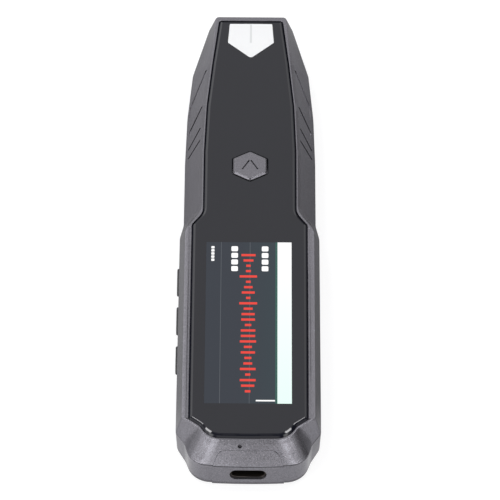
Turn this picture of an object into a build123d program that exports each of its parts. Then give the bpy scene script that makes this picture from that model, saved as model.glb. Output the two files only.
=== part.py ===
from build123d import *
import os
from math import cos, pi, radians, tan

os.makedirs("parts", exist_ok=True)

# Handheld scanning translator, in millimetres. It lies on its back: +X is to the right of the
# display, +Y runs to the scanning tip, +Z is up out of the display. The origin is the middle of
# the flat back.

# Heights
FLOOR = 1.5
SEAM_Z = 7.0
TRAY_Z = 10.7
PANEL_SEAT_Z = 11.7
PANEL_Z = 11.9
RIM_Z = 12.6
PANEL_TOP_Z = 13.0

# Shell details
WALL = 1.8
SEAM_GAP = 0.08
TONGUE_INSET = 1.25
TONGUE_HEIGHT = 0.6
BASE_EDGE = 1.2
RIM_EDGE = 0.5
FIT = 0.05

# Outlines: the corners of the right half, from the tip to the USB end, as (x, y, corner radius).
# The same corner stands at the same place in each list, so the shells can be lofted between them.
SEAM_OUTLINE = [
    (11.05, 74.9, 1.8), (15.5, 57.2, 6), (16.75, 41.5, 0), (17.15, 25.0, 0), (17.15, 4.6, 6),
    (18.1, 0.2, 6), (18.1, -64.7, 2.5), (15.9, -68.2, 4.0), (14.5, -74.3, 4.2), (0, -75.55, 60),
]
RIM_OUTLINE = [
    (8.85, 74.2, 1.6), (10.65, 57.2, 12), (11.95, 41.5, 0), (12.5, 25.0, 0), (12.5, 6.7, 4.5),
    (16.7, -0.8, 1.5), (16.7, -64.1, 0.8), (12.6, -67.05, 2.4), (10.1, -71.35, 1.8), (0, -71.5, 60),
]
BASE_OUTLINE = [
    (10.8, 74.5, 1.8), (15.2, 57.0, 6), (16.45, 41.5, 0), (16.85, 25.0, 0), (16.85, 4.6, 6),
    (17.8, 0.2, 6), (17.8, -64.9, 4.0), (15.5, -69.3, 7.0), (14.0, -74.6, 5.0), (0, -75.75, 60),
]
PANEL_OUTLINE = [
    (8.45, 72.4, 1.0), (10.2, 57.2, 0), (11.55, 41.5, 0), (12.1, 25.0, 0), (12.1, 6.3, 4.5),
    (15.1, -0.6, 1.2), (15.1, -64.6, 0.9), (12.1, -66.8, 2.2), (9.7, -70.85, 1.6), (0, -70.95, 60),
]
PANEL_BEVEL = (0.4, 0.9)  # height, width

# Nose: the underside rises to the tip
NOSE_START_Y = 64.0
NOSE_RISE = 1.5

# Scanning mouth and light hood
MOUTH_WIDTH = 14.0
MOUTH_Z = (3.4, 9.8)
HOOD_Y = (56.5, 72.4)
HOOD_Z = (3.0, TRAY_Z)
HOOD_WIDTH = 15.2
HOOD_WALL = 0.8
CAMERA_Z = 6.6
CAMERA_Y = (49.3, 55.6)
CAMERA_SIZE = (8.4, 6.2)  # width, height
LENS_Y = (56.6, 57.5)
LENS_RADIUS = 1.58
LAMP_X = (-5.0, 5.0)

# Aiming window, as (half width, y) of its corners
WINDOW = [(5.7, 71.3), (6.1, 64.5), (0, 58.9)]
WINDOW_RADIUS = 0.6
WINDOW_LEDGE = 0.5

# Hexagonal button
HEX_Y = 19.75
HEX_ACROSS_FLATS = 8.9
HEX_TOP_Z = 13.3
HEX_CORNER_RADIUS = 0.7
HEX_GAP = 0.15
HEX_CHAMFER = 0.45
HEX_FLANGE = 1.0
HEX_FLANGE_THICK = 0.6
STEM_RADIUS = 1.5
STEM_FOOT_Z = 8.2
TACT_SWITCH = (4.5, 1.1)  # square body, height

# Side buttons, on the left
SIDE_BUTTON_Y = [-14.2, -27.2, -40.2]
SIDE_BUTTON_LENGTH = 9.0
SIDE_BUTTON_HEIGHT = 3.0
SIDE_BUTTON_Z = 4.5
SIDE_BUTTON_OUT = 0.5
SIDE_GAP = 0.12
SIDE_FLANGE_X = (-15.85, -15.2)
SIDE_NUB_X = -14.75
SIDE_SWITCH_X = (-14.3, -11.9)
SIDE_SWITCH_SIZE = (4.7, 2.4)
SIDE_PLUNGER_X = (-14.74, -13.5)

# Display
DISPLAY_Y = (-62.0, -4.2)
DISPLAY_WIDTH = 24.8
DISPLAY_Z = (8.7, PANEL_Z)
GLASS_Z = 10.2
DISPLAY_WALL = 0.35
DISPLAY_GAP = 0.15
FLEX_THICK = 0.15
FLEX_WIDTH = 8.0

# Main board and what stands on it
BOARD_Z = 5.85
BOARD_TOP = 6.65
BOARD_OUTLINE = [(9.0, 47.0), (9.0, -2.0), (13.2, -2.0), (13.2, -57.4), (8.6, -57.4), (8.6, -72.9)]
BOARD_RESTS = [(7.0, -64.0), (-7.0, -64.0), (6.6, 43.0), (-6.6, 43.0)]
PEG = 0.6
REST = 1.2

# USB-C inlet
USB_Z = 4.25
USB_HOLE = (9.2, 3.4)
USB_SHELL = (8.94, 3.2)
USB_LENGTH = 7.3
USB_FACE_Y = -75.0
PAD_PROUD = 0.3
PAD_WIDTH = 17.8
PAD_TOP_Z = 10.0
PAD_RADIUS = 3.0

# Microphone
MIC_HOLE = (-2.1, -72.35, 11.4)
MIC_HOLE_RADIUS = 0.5
MIC_Y = -71.0

# Screws at the USB end, hooks near the tip
CASE_SCREWS = [(14.7, -60.0), (-14.7, -60.0)]
CASE_SCREW_LENGTH = 6.4
SCREW_RADIUS = 0.8
HEAD_RADIUS = 1.45
HEAD_HEIGHT = 0.9
HEAD_DEPTH = 2.0
POST_RADIUS = 2.0
HOOK_PLACE = (13.4, 49.0, 4.6)  # x, y, turn that lays it along the side
HOOK_ARM = (1.0, 4.0, 3.4, 8.9)  # thickness, width, z0, z1
HOOK_BARB = (0.6, 0.8)  # reach, height
HOOK_GAP = 0.2

# Battery and speaker
BATTERY = (-10.6, 12.8, -56.0, -14.0, 1.9, 5.6)  # x0, x1, y0, y1, z0, z1
SPEAKER_Y = 9.5
SPEAKER_SIZE = (15.0, 11.0, 3.0)
SPEAKER_RIM = 1.2
CRADLE_HEIGHT = 2.0
CRADLE_WALL = 0.9
BATTERY_GAP = 0.2
SLOT_SIZE = (9.0, 1.0)
SLOT_PITCH = 1.9
SLOT_COUNT = 5

# Fine grooves in the sloped sides: runs of (x, y) points
GROOVES = [
    [(11.9, 55.9), (16.0, 45.4), (16.15, 41.5)], [(12.8, 42.6), (16.15, 36.4), (16.25, 34.6)],
    [(13.3, 35.0), (16.4, 30.2)], [(13.3, 30.6), (16.4, 26.6)],
]
GROOVE_WIDTH = 0.3
GROOVE_DEPTH = 0.42
RIDGE_GROOVE = (15.6, 15.95, -62.8, -3.2)  # x0, x1, y0, y1
RIDGE_GROOVE_DEPTH = 0.25


def mirrored(corners):
    """Right-half corners carried round to the left, as one closed ring."""
    right = [corner for corner in corners if corner[0] > 0]
    middle = [corner for corner in corners if corner[0] == 0]
    return right + middle + [(-corner[0], *corner[1:]) for corner in reversed(right)]


def inset(corners, distance, plain=False):
    """The same corners moved inwards by distance. Their radii follow, or are dropped if plain."""
    first, last = corners[0], corners[-1]
    before = [(-first[0], first[1])] + [c[:2] for c in corners[:-1]]
    after = [c[:2] for c in corners[1:]]
    after.append((-corners[-2][0], corners[-2][1]) if last[0] == 0 else (-last[0], last[1]))
    moved = []
    for (x, y, radius), start, end in zip(corners, before, after):
        into = (Vector(x, y) - Vector(*start)).normalized()
        away = (Vector(*end) - Vector(x, y)).normalized()
        normals = Vector(into.Y, -into.X) + Vector(away.Y, -away.X)
        step = normals * (distance / (1 + into.dot(away)))
        convex = into.cross(away).Z < 0
        turned = max(radius + (-distance if convex else distance), 0.4)
        moved.append((x + step.X, y + step.Y, 0 if plain or radius == 0 else turned))
    return moved


def between(low, high, share):
    """Corners that lie a share of the way from one outline to another."""
    return [tuple(a + (b - a) * share for a, b in zip(*pair)) for pair in zip(low, high)]


def outline(corners, z):
    ring = mirrored(corners)
    points = [(x, y, z) for x, y, _ in ring]
    return make_face(FilletPolyline(*points, radius=[radius for _, _, radius in ring], close=True))


def stack(*levels):
    """Solid through outlines at rising heights, each given as (corners, z)."""
    return loft([outline(corners, z) for corners, z in levels], ruled=True)


def block(x0, x1, y0, y1, z0, z1):
    return Pos((x0 + x1) / 2, (y0 + y1) / 2, (z0 + z1) / 2) * Box(x1 - x0, y1 - y0, z1 - z0)


def rod(x, y, radius, z0, z1):
    return Pos(x, y, (z0 + z1) / 2) * Cylinder(radius, z1 - z0)


def prism(face, z0, z1):
    """A face drawn on z = 0, raised between two heights."""
    return Pos(0, 0, z0) * extrude(face, z1 - z0)


def facing_tip(face, y0, y1):
    """A face drawn with x and z, pushed through from y0 to y1."""
    return extrude(Plane((0, y1, 0), x_dir=(1, 0, 0), z_dir=(0, -1, 0)) * face, y1 - y0)


def facing_side(face, x0, x1):
    """A face drawn with y and z, pushed through from x0 to x1."""
    return extrude(Plane((x0, 0, 0), x_dir=(0, 1, 0), z_dir=(1, 0, 0)) * face, x1 - x0)


def window_face(grow):
    """Pentagon of the aiming window, pushed outwards by grow."""
    corners = WINDOW + [(-x, y) for x, y in reversed(WINDOW) if x]
    face = fillet(make_face(Polyline(*corners, close=True)).vertices(), WINDOW_RADIUS)
    return offset(face, grow) if grow else face


def hexagon_face(grow):
    face = RegularPolygon((HEX_ACROSS_FLATS / 2 + grow) / cos(pi / 6), 6, rotation=30)
    return Pos(0, HEX_Y) * face


def soft_hexagon_face(grow):
    return fillet(hexagon_face(grow).vertices(), HEX_CORNER_RADIUS)


def side_at(z):
    """Outline of the sloped side of the upper shell at a height."""
    return between(SEAM_OUTLINE, RIM_OUTLINE, (z - SEAM_Z) / (RIM_Z - SEAM_Z))


def upper_form():
    edge_z = RIM_Z - RIM_EDGE
    rim = inset(RIM_OUTLINE, RIM_EDGE / 2)
    return stack((SEAM_OUTLINE, SEAM_Z), (side_at(edge_z), edge_z), (rim, RIM_Z))


def lower_form():
    edge_z = BASE_EDGE * 0.3
    side = between(BASE_OUTLINE, SEAM_OUTLINE, BASE_EDGE / SEAM_Z)
    lower = inset(BASE_OUTLINE, BASE_EDGE)
    middle = inset(BASE_OUTLINE, BASE_EDGE * 0.3)
    return stack((lower, 0), (middle, edge_z), (side, BASE_EDGE), (SEAM_OUTLINE, SEAM_Z))


def end_pad(form):
    """Raised pad round the USB-C inlet, cut from the end of a shell's own form."""
    height = PAD_TOP_Z + 2 * PAD_RADIUS
    face = Pos(0, PAD_TOP_Z - height / 2) * RectangleRounded(PAD_WIDTH, height, PAD_RADIUS)
    pushed = Pos(0, -PAD_PROUD, 0) * form
    return pushed & facing_tip(face, -80, -68)


def mouth():
    width, height = MOUTH_WIDTH, MOUTH_Z[1] - MOUTH_Z[0]
    face = Pos(0, sum(MOUTH_Z) / 2) * RectangleRounded(width, height, 1.2)
    return facing_tip(face, HOOD_Y[1] - 1, 80)


def side_grooves():
    """Grooves of one depth in the sloped sides: they stop at a smaller copy of the form."""
    right = Part()
    for run in GROOVES:
        for start, end in zip(run, run[1:]):
            span = Vector(*end) - Vector(*start)
            middle = (Vector(*start) + Vector(*end)) * 0.5
            turn = Vector(1, 0).get_signed_angle(span)
            strip = Rectangle(span.length + GROOVE_WIDTH, GROOVE_WIDTH, rotation=turn)
            right += prism(Pos(middle.X, middle.Y) * strip, SEAM_Z + 0.5, RIM_Z - 0.3)
    both = right + mirror(right, about=Plane.YZ)
    low, high = inset(SEAM_OUTLINE, GROOVE_DEPTH), inset(RIM_OUTLINE, GROOVE_DEPTH)
    return both - stack((low, SEAM_Z), (high, RIM_Z))


def ridge_grooves():
    """Long fine grooves between the rim and the rounded ridge, beside the display."""
    cut = block(*RIDGE_GROOVE, RIM_Z - RIDGE_GROOVE_DEPTH, RIM_Z + 1)
    return cut + mirror(cut, about=Plane.YZ)


def front_room(wall):
    """The hollow under the tray, inside walls of the given thickness."""
    low, high = inset(SEAM_OUTLINE, wall, plain=True), inset(side_at(TRAY_Z), wall, plain=True)
    return stack((low, SEAM_Z), (high, TRAY_Z))


def front_bezel():
    form = upper_form()
    form += end_pad(form)
    form -= block(-30, 30, -90, 90, SEAM_Z - 1, SEAM_Z + SEAM_GAP)
    shell = form - front_room(WALL)
    for x, y in CASE_SCREWS:
        shell += rod(x, y, POST_RADIUS, SEAM_Z + SEAM_GAP, TRAY_Z + 0.3) & form
        shell -= rod(x, y, SCREW_RADIUS + 0.01, SEAM_Z, HEAD_DEPTH + CASE_SCREW_LENGTH + 0.4)
    rebate = inset(SEAM_OUTLINE, TONGUE_INSET - FIT, plain=True)
    shell -= prism(outline(rebate, 0), SEAM_Z - 1, SEAM_Z + TONGUE_HEIGHT + FIT)
    shell -= prism(outline(inset(PANEL_OUTLINE, -FIT), 0), PANEL_SEAT_Z, RIM_Z + 1)
    shell -= tray_holes()
    shell += hooks()
    return shell - mouth() - mic_hole() - side_grooves() - ridge_grooves()


def tray_holes():
    """Holes in the tray for the display, the hexagonal button and the aiming window."""
    half = DISPLAY_WIDTH / 2 + DISPLAY_GAP
    y0, y1 = DISPLAY_Y[0] - DISPLAY_GAP, DISPLAY_Y[1] + DISPLAY_GAP
    holes = block(-half, half, y0, y1, TRAY_Z - 1, RIM_Z)
    holes += prism(hexagon_face(0.3), TRAY_Z - 1, RIM_Z)
    return holes + prism(window_face(-WINDOW_LEDGE), TRAY_Z - 1, RIM_Z)


def along_side(shape):
    """A shape drawn at the origin, set at the right hook's place, and its mirror image."""
    x, y, turn = HOOK_PLACE
    placed = Pos(x, y, 0) * Rot(0, 0, turn) * shape
    return placed + mirror(placed, about=Plane.YZ)


def hooks():
    thick, width, z0, z1 = HOOK_ARM
    reach, height = HOOK_BARB
    arm = block(-thick / 2, thick / 2, -width / 2, width / 2, z0, z1)
    barb = block(0, thick / 2 + reach, -width / 2, width / 2, z0, z0 + height)
    return along_side(arm + barb)


def hook_pockets():
    thick, width, z0, _ = HOOK_ARM
    reach, height = HOOK_BARB
    out, half = thick / 2 + reach + HOOK_GAP, width / 2 + HOOK_GAP
    return along_side(block(0, out, -half, half, z0 - HOOK_GAP, z0 + height + HOOK_GAP))


def mic_hole():
    """Hole square to the sloped end, through its wall."""
    drop = RIM_Z - SEAM_Z
    run = RIM_OUTLINE[-1][1] - SEAM_OUTLINE[-1][1]
    across = Plane(MIC_HOLE, x_dir=(1, 0, 0), z_dir=(0, -drop, run))
    return across * Cylinder(MIC_HOLE_RADIUS, 4.0)


def under_nose():
    """Wedge that lifts the underside towards the tip."""
    slope = NOSE_RISE / (BASE_OUTLINE[0][1] - NOSE_START_Y)
    wedge = [(NOSE_START_Y, 0), (80, slope * (80 - NOSE_START_Y)), (80, -1), (NOSE_START_Y, -1)]
    return facing_side(make_face(Polyline(*wedge, close=True)), -20, 20)


def rear_shell():
    form = lower_form()
    form = form + end_pad(form) - under_nose()
    low, high = inset(BASE_OUTLINE, WALL, plain=True), inset(SEAM_OUTLINE, WALL, plain=True)
    cavity = stack((low, FLOOR), (high, SEAM_Z)) - Pos(0, 0, FLOOR) * under_nose()
    shell = form - cavity
    edge = outline(inset(SEAM_OUTLINE, TONGUE_INSET, plain=True), 0)
    shell += prism(edge - outline(high, 0), SEAM_Z, SEAM_Z + TONGUE_HEIGHT)
    for x, y in CASE_SCREWS:
        shell += rod(x, y, POST_RADIUS, FLOOR - 0.5, SEAM_Z) & form
        shell -= rod(x, y, SCREW_RADIUS + 0.15, 0, SEAM_Z + 1)
        shell -= rod(x, y, HEAD_RADIUS + 0.2, -1, HEAD_DEPTH)
    for x, y in BOARD_RESTS:
        shell += block(x - REST, x + REST, y - REST, y + REST, FLOOR - 0.5, BOARD_Z)
        shell += block(x - PEG, x + PEG, y - PEG, y + PEG, BOARD_Z - 0.5, BOARD_TOP + 0.5)
    for y in SIDE_BUTTON_Y:
        shell -= facing_side(Pos(y, SIDE_BUTTON_Z) * side_button_face(SIDE_GAP), -20, -14)
    shell += battery_cradle()
    return shell - hook_pockets() - usb_hole() - speaker_slots() - mouth()


def usb_hole():
    return facing_tip(Pos(0, USB_Z) * SlotOverall(*USB_HOLE), -80, -70)


def speaker_slots():
    slots = GridLocations(0, SLOT_PITCH, 1, SLOT_COUNT) * SlotOverall(*SLOT_SIZE)
    return prism(Pos(0, SPEAKER_Y) * (Sketch() + slots), -1, FLOOR + 1)


def battery_cradle():
    """Low wall round the battery, open in the middle of its tip side for the leads."""
    x0, x1, y0, y1, _, _ = BATTERY
    gap, out = BATTERY_GAP, BATTERY_GAP + CRADLE_WALL
    ring = block(x0 - out, x1 + out, y0 - out, y1 + out, FLOOR - 0.1, FLOOR + CRADLE_HEIGHT)
    ring -= block(x0 - gap, x1 + gap, y0 - gap, y1 + gap, FLOOR - 1, FLOOR + CRADLE_HEIGHT + 1)
    return ring - block(-3, 3, y1, y1 + out + 1, FLOOR, FLOOR + CRADLE_HEIGHT + 1)


def front_panel():
    bevel_height, bevel_width = PANEL_BEVEL
    slab = prism(outline(PANEL_OUTLINE, 0), PANEL_Z, RIM_Z)
    slab += stack((PANEL_OUTLINE, RIM_Z), (inset(PANEL_OUTLINE, bevel_width), PANEL_TOP_Z))
    slab -= prism(soft_hexagon_face(HEX_GAP), PANEL_Z - 1, PANEL_TOP_Z + 1)
    return slab - prism(window_face(FIT), PANEL_Z - 1, PANEL_TOP_Z + 1)


def window_lens():
    return prism(window_face(0), PANEL_Z, PANEL_TOP_Z)


def panel_tape():
    """Adhesive frame between the tray and the front panel."""
    tape = prism(outline(inset(PANEL_OUTLINE, 0.6, plain=True), 0), PANEL_SEAT_Z, PANEL_Z)
    half = DISPLAY_WIDTH / 2 + 0.3
    tape -= block(-half, half, DISPLAY_Y[0] - 0.5, DISPLAY_Y[1] + 0.5, PANEL_Z - 1, PANEL_Z + 1)
    tape -= prism(hexagon_face(0.6), PANEL_Z - 1, PANEL_Z + 1)
    return tape - prism(window_face(-WINDOW_LEDGE), PANEL_Z - 1, PANEL_Z + 1)


def hex_button():
    """Chamfered cap, a flange that stops it under the tray, and a stem down to its switch."""
    flange_z = TRAY_Z - FIT - HEX_FLANGE_THICK
    cap = prism(soft_hexagon_face(0), flange_z, HEX_TOP_Z)
    cap = chamfer(cap.faces().sort_by(Axis.Z)[-1].edges(), HEX_CHAMFER)
    cap += prism(hexagon_face(HEX_FLANGE), flange_z, TRAY_Z - FIT)
    cap += rod(0, HEX_Y, STEM_RADIUS, STEM_FOOT_Z, flange_z + 0.1)
    return cap - chevron()


def chevron():
    """Shallow arrowhead that points to the tip, with 60 degrees between its legs."""
    half, apex_y, foot_y, stroke = 2.04, 22.1, 18.7, 0.34
    points = [(-half, foot_y), (0, apex_y), (half, foot_y), (half - stroke, foot_y - 0.1)]
    points += [(0, apex_y - stroke / tan(radians(30))), (stroke - half, foot_y - 0.1)]
    return prism(make_face(Polyline(*points, close=True)), HEX_TOP_Z - 0.2, HEX_TOP_Z + 1)


def tact_switch():
    """Switch under the hexagonal button: its body, then the plunger that the button pushes."""
    half, height = TACT_SWITCH[0] / 2, TACT_SWITCH[1]
    body = block(-half, half, HEX_Y - half, HEX_Y + half, BOARD_TOP, BOARD_TOP + height)
    body -= rod(0, HEX_Y, 1.1, BOARD_TOP + 0.35, BOARD_TOP + 3)
    plunger = rod(0, HEX_Y, 1.0, STEM_FOOT_Z - 0.85, STEM_FOOT_Z - 0.01)
    return body, plunger


def side_button_face(grow):
    return SlotOverall(SIDE_BUTTON_LENGTH + 2 * grow, SIDE_BUTTON_HEIGHT + 2 * grow)


def side_button(y):
    """Cap that stands out of the side, a flange inside the wall, and a nub on the plunger."""
    outer_x = -(SEAM_OUTLINE[6][0] + SIDE_BUTTON_OUT)
    inner_x, flange_x = SIDE_FLANGE_X[1], SIDE_FLANGE_X[0]
    cap = facing_side(Pos(y, SIDE_BUTTON_Z) * side_button_face(0), outer_x, inner_x)
    cap = chamfer(cap.faces().sort_by(Axis.X)[0].edges(), 0.3)
    flange = Rectangle(SIDE_BUTTON_LENGTH + 1.4, SIDE_BUTTON_HEIGHT + 0.9)
    cap += facing_side(Pos(y, SIDE_BUTTON_Z - 0.15) * flange, flange_x, inner_x)
    nub = facing_side(Pos(y, SIDE_BUTTON_Z) * Rectangle(1.6, 1.2), inner_x - 0.1, SIDE_NUB_X)
    return cap + nub


def side_switch(y):
    """Switch that hangs under the board's edge: its body, then its plunger."""
    half, height = SIDE_SWITCH_SIZE[0] / 2, SIDE_SWITCH_SIZE[1]
    x0, x1 = SIDE_SWITCH_X
    mid_z = SIDE_BUTTON_Z
    body = block(x0, x1, y - half, y + half, BOARD_Z - height, BOARD_Z)
    body -= block(x0 - 1, x1 - 1.1, y - 0.85, y + 0.85, mid_z - 0.6, mid_z + 0.6)
    plunger = block(*SIDE_PLUNGER_X, y - 0.75, y + 0.75, mid_z - 0.5, mid_z + 0.5)
    return body, plunger


def display():
    half = DISPLAY_WIDTH / 2
    inner = half - DISPLAY_WALL
    frame = block(-half, half, *DISPLAY_Y, *DISPLAY_Z)
    y0, y1 = DISPLAY_Y[0] + DISPLAY_WALL, DISPLAY_Y[1] - DISPLAY_WALL
    frame -= block(-inner, inner, y0, y1, GLASS_Z, DISPLAY_Z[1] + 1)
    glass = block(-inner + FIT, inner - FIT, y0 + FIT, y1 - FIT, GLASS_Z, DISPLAY_Z[1])
    return frame, glass


def display_flex():
    """Flat cable folded from the tip side of the display back to the board."""
    top_z, start_y, fold_y, end_y = DISPLAY_Z[0] + 0.9, DISPLAY_Y[1], -2.3, -5.5
    outer = [(start_y, top_z), (fold_y, top_z), (fold_y, BOARD_TOP), (end_y, BOARD_TOP)]
    inner_y = fold_y - FLEX_THICK
    inner = [(end_y, BOARD_TOP + FLEX_THICK), (inner_y, BOARD_TOP + FLEX_THICK)]
    inner += [(inner_y, top_z - FLEX_THICK), (start_y, top_z - FLEX_THICK)]
    profile = make_face(Polyline(*outer, *inner, close=True))
    return facing_side(profile, -FLEX_WIDTH / 2, FLEX_WIDTH / 2)


def main_board():
    ring = BOARD_OUTLINE + [(-x, y) for x, y in reversed(BOARD_OUTLINE)]
    face = make_face(Polyline(*ring, close=True))
    board = prism(face, BOARD_Z, BOARD_TOP)
    for x, y in BOARD_RESTS:
        hole = PEG + FIT
        board -= block(x - hole, x + hole, y - hole, y + hole, BOARD_Z - 1, BOARD_TOP + 1)
    return board


def usb_inlet():
    """USB-C receptacle: its drawn steel shell, closed at the back, and the contact tongue inside."""
    back_y = USB_FACE_Y + USB_LENGTH
    shell = facing_tip(Pos(0, USB_Z) * SlotOverall(*USB_SHELL), USB_FACE_Y, back_y)
    inner = SlotOverall(USB_SHELL[0] - 0.6, USB_SHELL[1] - 0.6)
    shell -= facing_tip(Pos(0, USB_Z) * inner, USB_FACE_Y - 1, back_y - 1.2)
    tongue = block(-3.35, 3.35, USB_FACE_Y + 1.2, back_y - 1.2, USB_Z - 0.35, USB_Z + 0.35)
    return shell, tongue


def speaker():
    """Speaker with a recessed cone side, over the mesh that covers the slots."""
    length, width, height = SPEAKER_SIZE
    low = FLOOR + 0.2
    centre = Pos(0, SPEAKER_Y)
    body = prism(centre * RectangleRounded(length, width, 1.5), low, low + height)
    recess = centre * Rectangle(length - 2 * SPEAKER_RIM, width - 2 * SPEAKER_RIM)
    mesh = prism(centre * Rectangle(length - 1, width - 0.6), FLOOR, low)
    return body - prism(recess, low - 1, low + 0.6), mesh


def microphone():
    """Microphone on the board, and the rubber boot that joins it to the hole in the sloped end."""
    x, y = MIC_HOLE[0], MIC_Y
    capsule = block(x - 1.75, x + 1.75, y - 1.3, y + 1.3, BOARD_TOP, BOARD_TOP + 1)
    capsule -= rod(x, y, 0.3, BOARD_TOP + 0.5, BOARD_TOP + 2)
    boot = block(x - 1.2, x + 1.2, y - 1.2, y + 1.2, BOARD_TOP + 1, TRAY_Z - FIT)
    boot = (boot & front_room(WALL + FIT)) - rod(x, y, 0.55, BOARD_TOP, TRAY_Z)
    return capsule, boot


def scan_hood():
    """White light chamber: open to the mouth, with a hole for the camera and slots for two lamps."""
    half = HOOD_WIDTH / 2
    y0, (z0, z1) = HOOD_Y[0], HOOD_Z
    hood = block(-half, half, *HOOD_Y, z0, z1)
    inner = half - HOOD_WALL
    hood -= block(-inner, inner, y0 + HOOD_WALL, 80, z0 + HOOD_WALL, z1 - HOOD_WALL)
    hood -= prism(window_face(-WINDOW_LEDGE), z1 - 2, z1 + 1)
    hood -= facing_tip(Pos(0, CAMERA_Z) * Circle(2.5), y0 - 1, y0 + 2)
    for x in LAMP_X:
        hood -= facing_tip(Pos(x, CAMERA_Z) * Rectangle(2.4, 2.0), y0 - 1, y0 + 2)
    return hood


def camera():
    """Camera housing with its round nose in the hood, and the lens set back in the nose."""
    width, height = CAMERA_SIZE
    front = Pos(0, CAMERA_Z) * Rectangle(width, height)
    housing = facing_tip(front, *CAMERA_Y)
    housing += facing_tip(Pos(0, CAMERA_Z) * Circle(2.3), CAMERA_Y[1] - 0.5, LENS_Y[1] + 0.4)
    housing -= facing_tip(Pos(0, CAMERA_Z) * Circle(LENS_RADIUS + 0.02), LENS_Y[0], 60)
    lens = facing_tip(Pos(0, CAMERA_Z) * Circle(LENS_RADIUS), *LENS_Y)
    return housing, lens


def page_light():
    """Small board behind the hood, and its two lamps, which shine into the hood."""
    plate = Pos(0, CAMERA_Z) * (Rectangle(14.4, 6.0) - Circle(2.45))
    board = facing_tip(plate, CAMERA_Y[1], HOOD_Y[0])
    lamps = []
    for x in LAMP_X:
        y0 = HOOD_Y[0]
        lamps.append(block(x - 1.1, x + 1.1, y0, y0 + 0.7, CAMERA_Z - 0.9, CAMERA_Z + 0.9))
    return board, Compound(children=lamps)


def case_screws():
    """Pan-head screws, driven up from the back."""
    made = []
    for x, y in CASE_SCREWS:
        shank = rod(x, y, SCREW_RADIUS, HEAD_DEPTH, HEAD_DEPTH + CASE_SCREW_LENGTH)
        made.append(shank + rod(x, y, HEAD_RADIUS, HEAD_DEPTH - HEAD_HEIGHT, HEAD_DEPTH))
    return Compound(children=made)


def save(name, shape):
    export_step(shape, f"parts/{name}.step")


save("front_bezel", front_bezel())
save("rear_shell", rear_shell())
save("front_panel", front_panel())
save("window_lens", window_lens())
save("panel_tape", panel_tape())
save("hex_button", hex_button())
front_switch, front_plunger = tact_switch()
save("front_switch", front_switch)
save("front_plunger", front_plunger)
for number, place in enumerate(SIDE_BUTTON_Y, 1):
    switch, plunger = side_switch(place)
    save(f"side_button_{number}", side_button(place))
    save(f"side_switch_{number}", switch)
    save(f"side_plunger_{number}", plunger)
display_frame, display_glass = display()
save("display_frame", display_frame)
save("display_glass", display_glass)
save("display_flex", display_flex())
save("main_board", main_board())
save("processor_chip", block(-4.5, 4.5, -19.5, -10.5, BOARD_TOP, BOARD_TOP + 0.9))
save("memory_chip", block(-3.5, 3.5, -31.0, -25.0, BOARD_TOP, BOARD_TOP + 0.8))
save("radio_shield", block(-5.5, 5.5, -50.0, -41.0, BOARD_TOP, BOARD_TOP + 1.2))
save("battery", block(*BATTERY))
save("battery_pad", block(-9.0, 11.0, -53.0, -17.0, FLOOR, BATTERY[4]))
usb_shell, usb_tongue = usb_inlet()
save("usb_shell", usb_shell)
save("usb_tongue", usb_tongue)
speaker_body, speaker_mesh = speaker()
save("speaker", speaker_body)
save("speaker_mesh", speaker_mesh)
mic_capsule, mic_boot = microphone()
save("microphone", mic_capsule)
save("mic_boot", mic_boot)
save("scan_hood", scan_hood())
camera_housing, camera_lens = camera()
save("camera_housing", camera_housing)
save("camera_lens", camera_lens)
save("camera_flex", block(-2.5, 2.5, 44.5, 49.3, BOARD_TOP, BOARD_TOP + 0.15))
light_board, light_leds = page_light()
save("light_board", light_board)
save("light_leds", light_leds)
save("case_screws", case_screws())
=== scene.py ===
"""Handheld scanning translator: the finished look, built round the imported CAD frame.

The pen lies on its back. +X is to the right of the display, +Y runs to the scanning tip and +Z is up
out of the display. Pieces are modelled in millimetres and scaled to metres when they are finished.
"""

import math

import bmesh
import bpy
from mathutils import Matrix, Vector
from mathutils.bvhtree import BVHTree


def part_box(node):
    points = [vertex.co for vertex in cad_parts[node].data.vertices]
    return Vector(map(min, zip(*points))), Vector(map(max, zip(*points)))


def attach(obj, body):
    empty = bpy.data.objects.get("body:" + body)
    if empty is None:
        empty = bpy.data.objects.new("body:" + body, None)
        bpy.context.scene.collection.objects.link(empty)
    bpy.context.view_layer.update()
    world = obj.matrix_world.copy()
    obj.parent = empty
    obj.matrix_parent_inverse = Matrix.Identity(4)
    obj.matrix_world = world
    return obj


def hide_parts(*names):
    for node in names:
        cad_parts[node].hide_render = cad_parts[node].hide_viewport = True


bl_info = {
    "name": "Handheld Scanning Translator",
    "version": (1, 0, 0),
    "blender": (4, 5, 0),
    "location": "View3D > Sidebar > Translator",
    "description": "Dresses the packed frame of a scanning pen with shells, panel, display, keys and inlet",
    "category": "Object",
}

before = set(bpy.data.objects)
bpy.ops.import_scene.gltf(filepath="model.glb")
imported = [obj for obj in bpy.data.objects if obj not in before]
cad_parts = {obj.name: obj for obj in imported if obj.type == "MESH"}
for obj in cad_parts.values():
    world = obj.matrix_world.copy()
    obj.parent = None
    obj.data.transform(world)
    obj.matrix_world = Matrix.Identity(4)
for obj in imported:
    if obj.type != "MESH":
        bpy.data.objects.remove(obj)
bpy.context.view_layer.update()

MM = 0.001

# Heights, in millimetres
FLOOR = 1.5
SEAM_Z = 7.0
TRAY_Z = 10.7
SEAT_Z = 11.7
PANEL_Z = 11.9
RIM_Z = 12.6
PANEL_TOP_Z = 13.0

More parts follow.
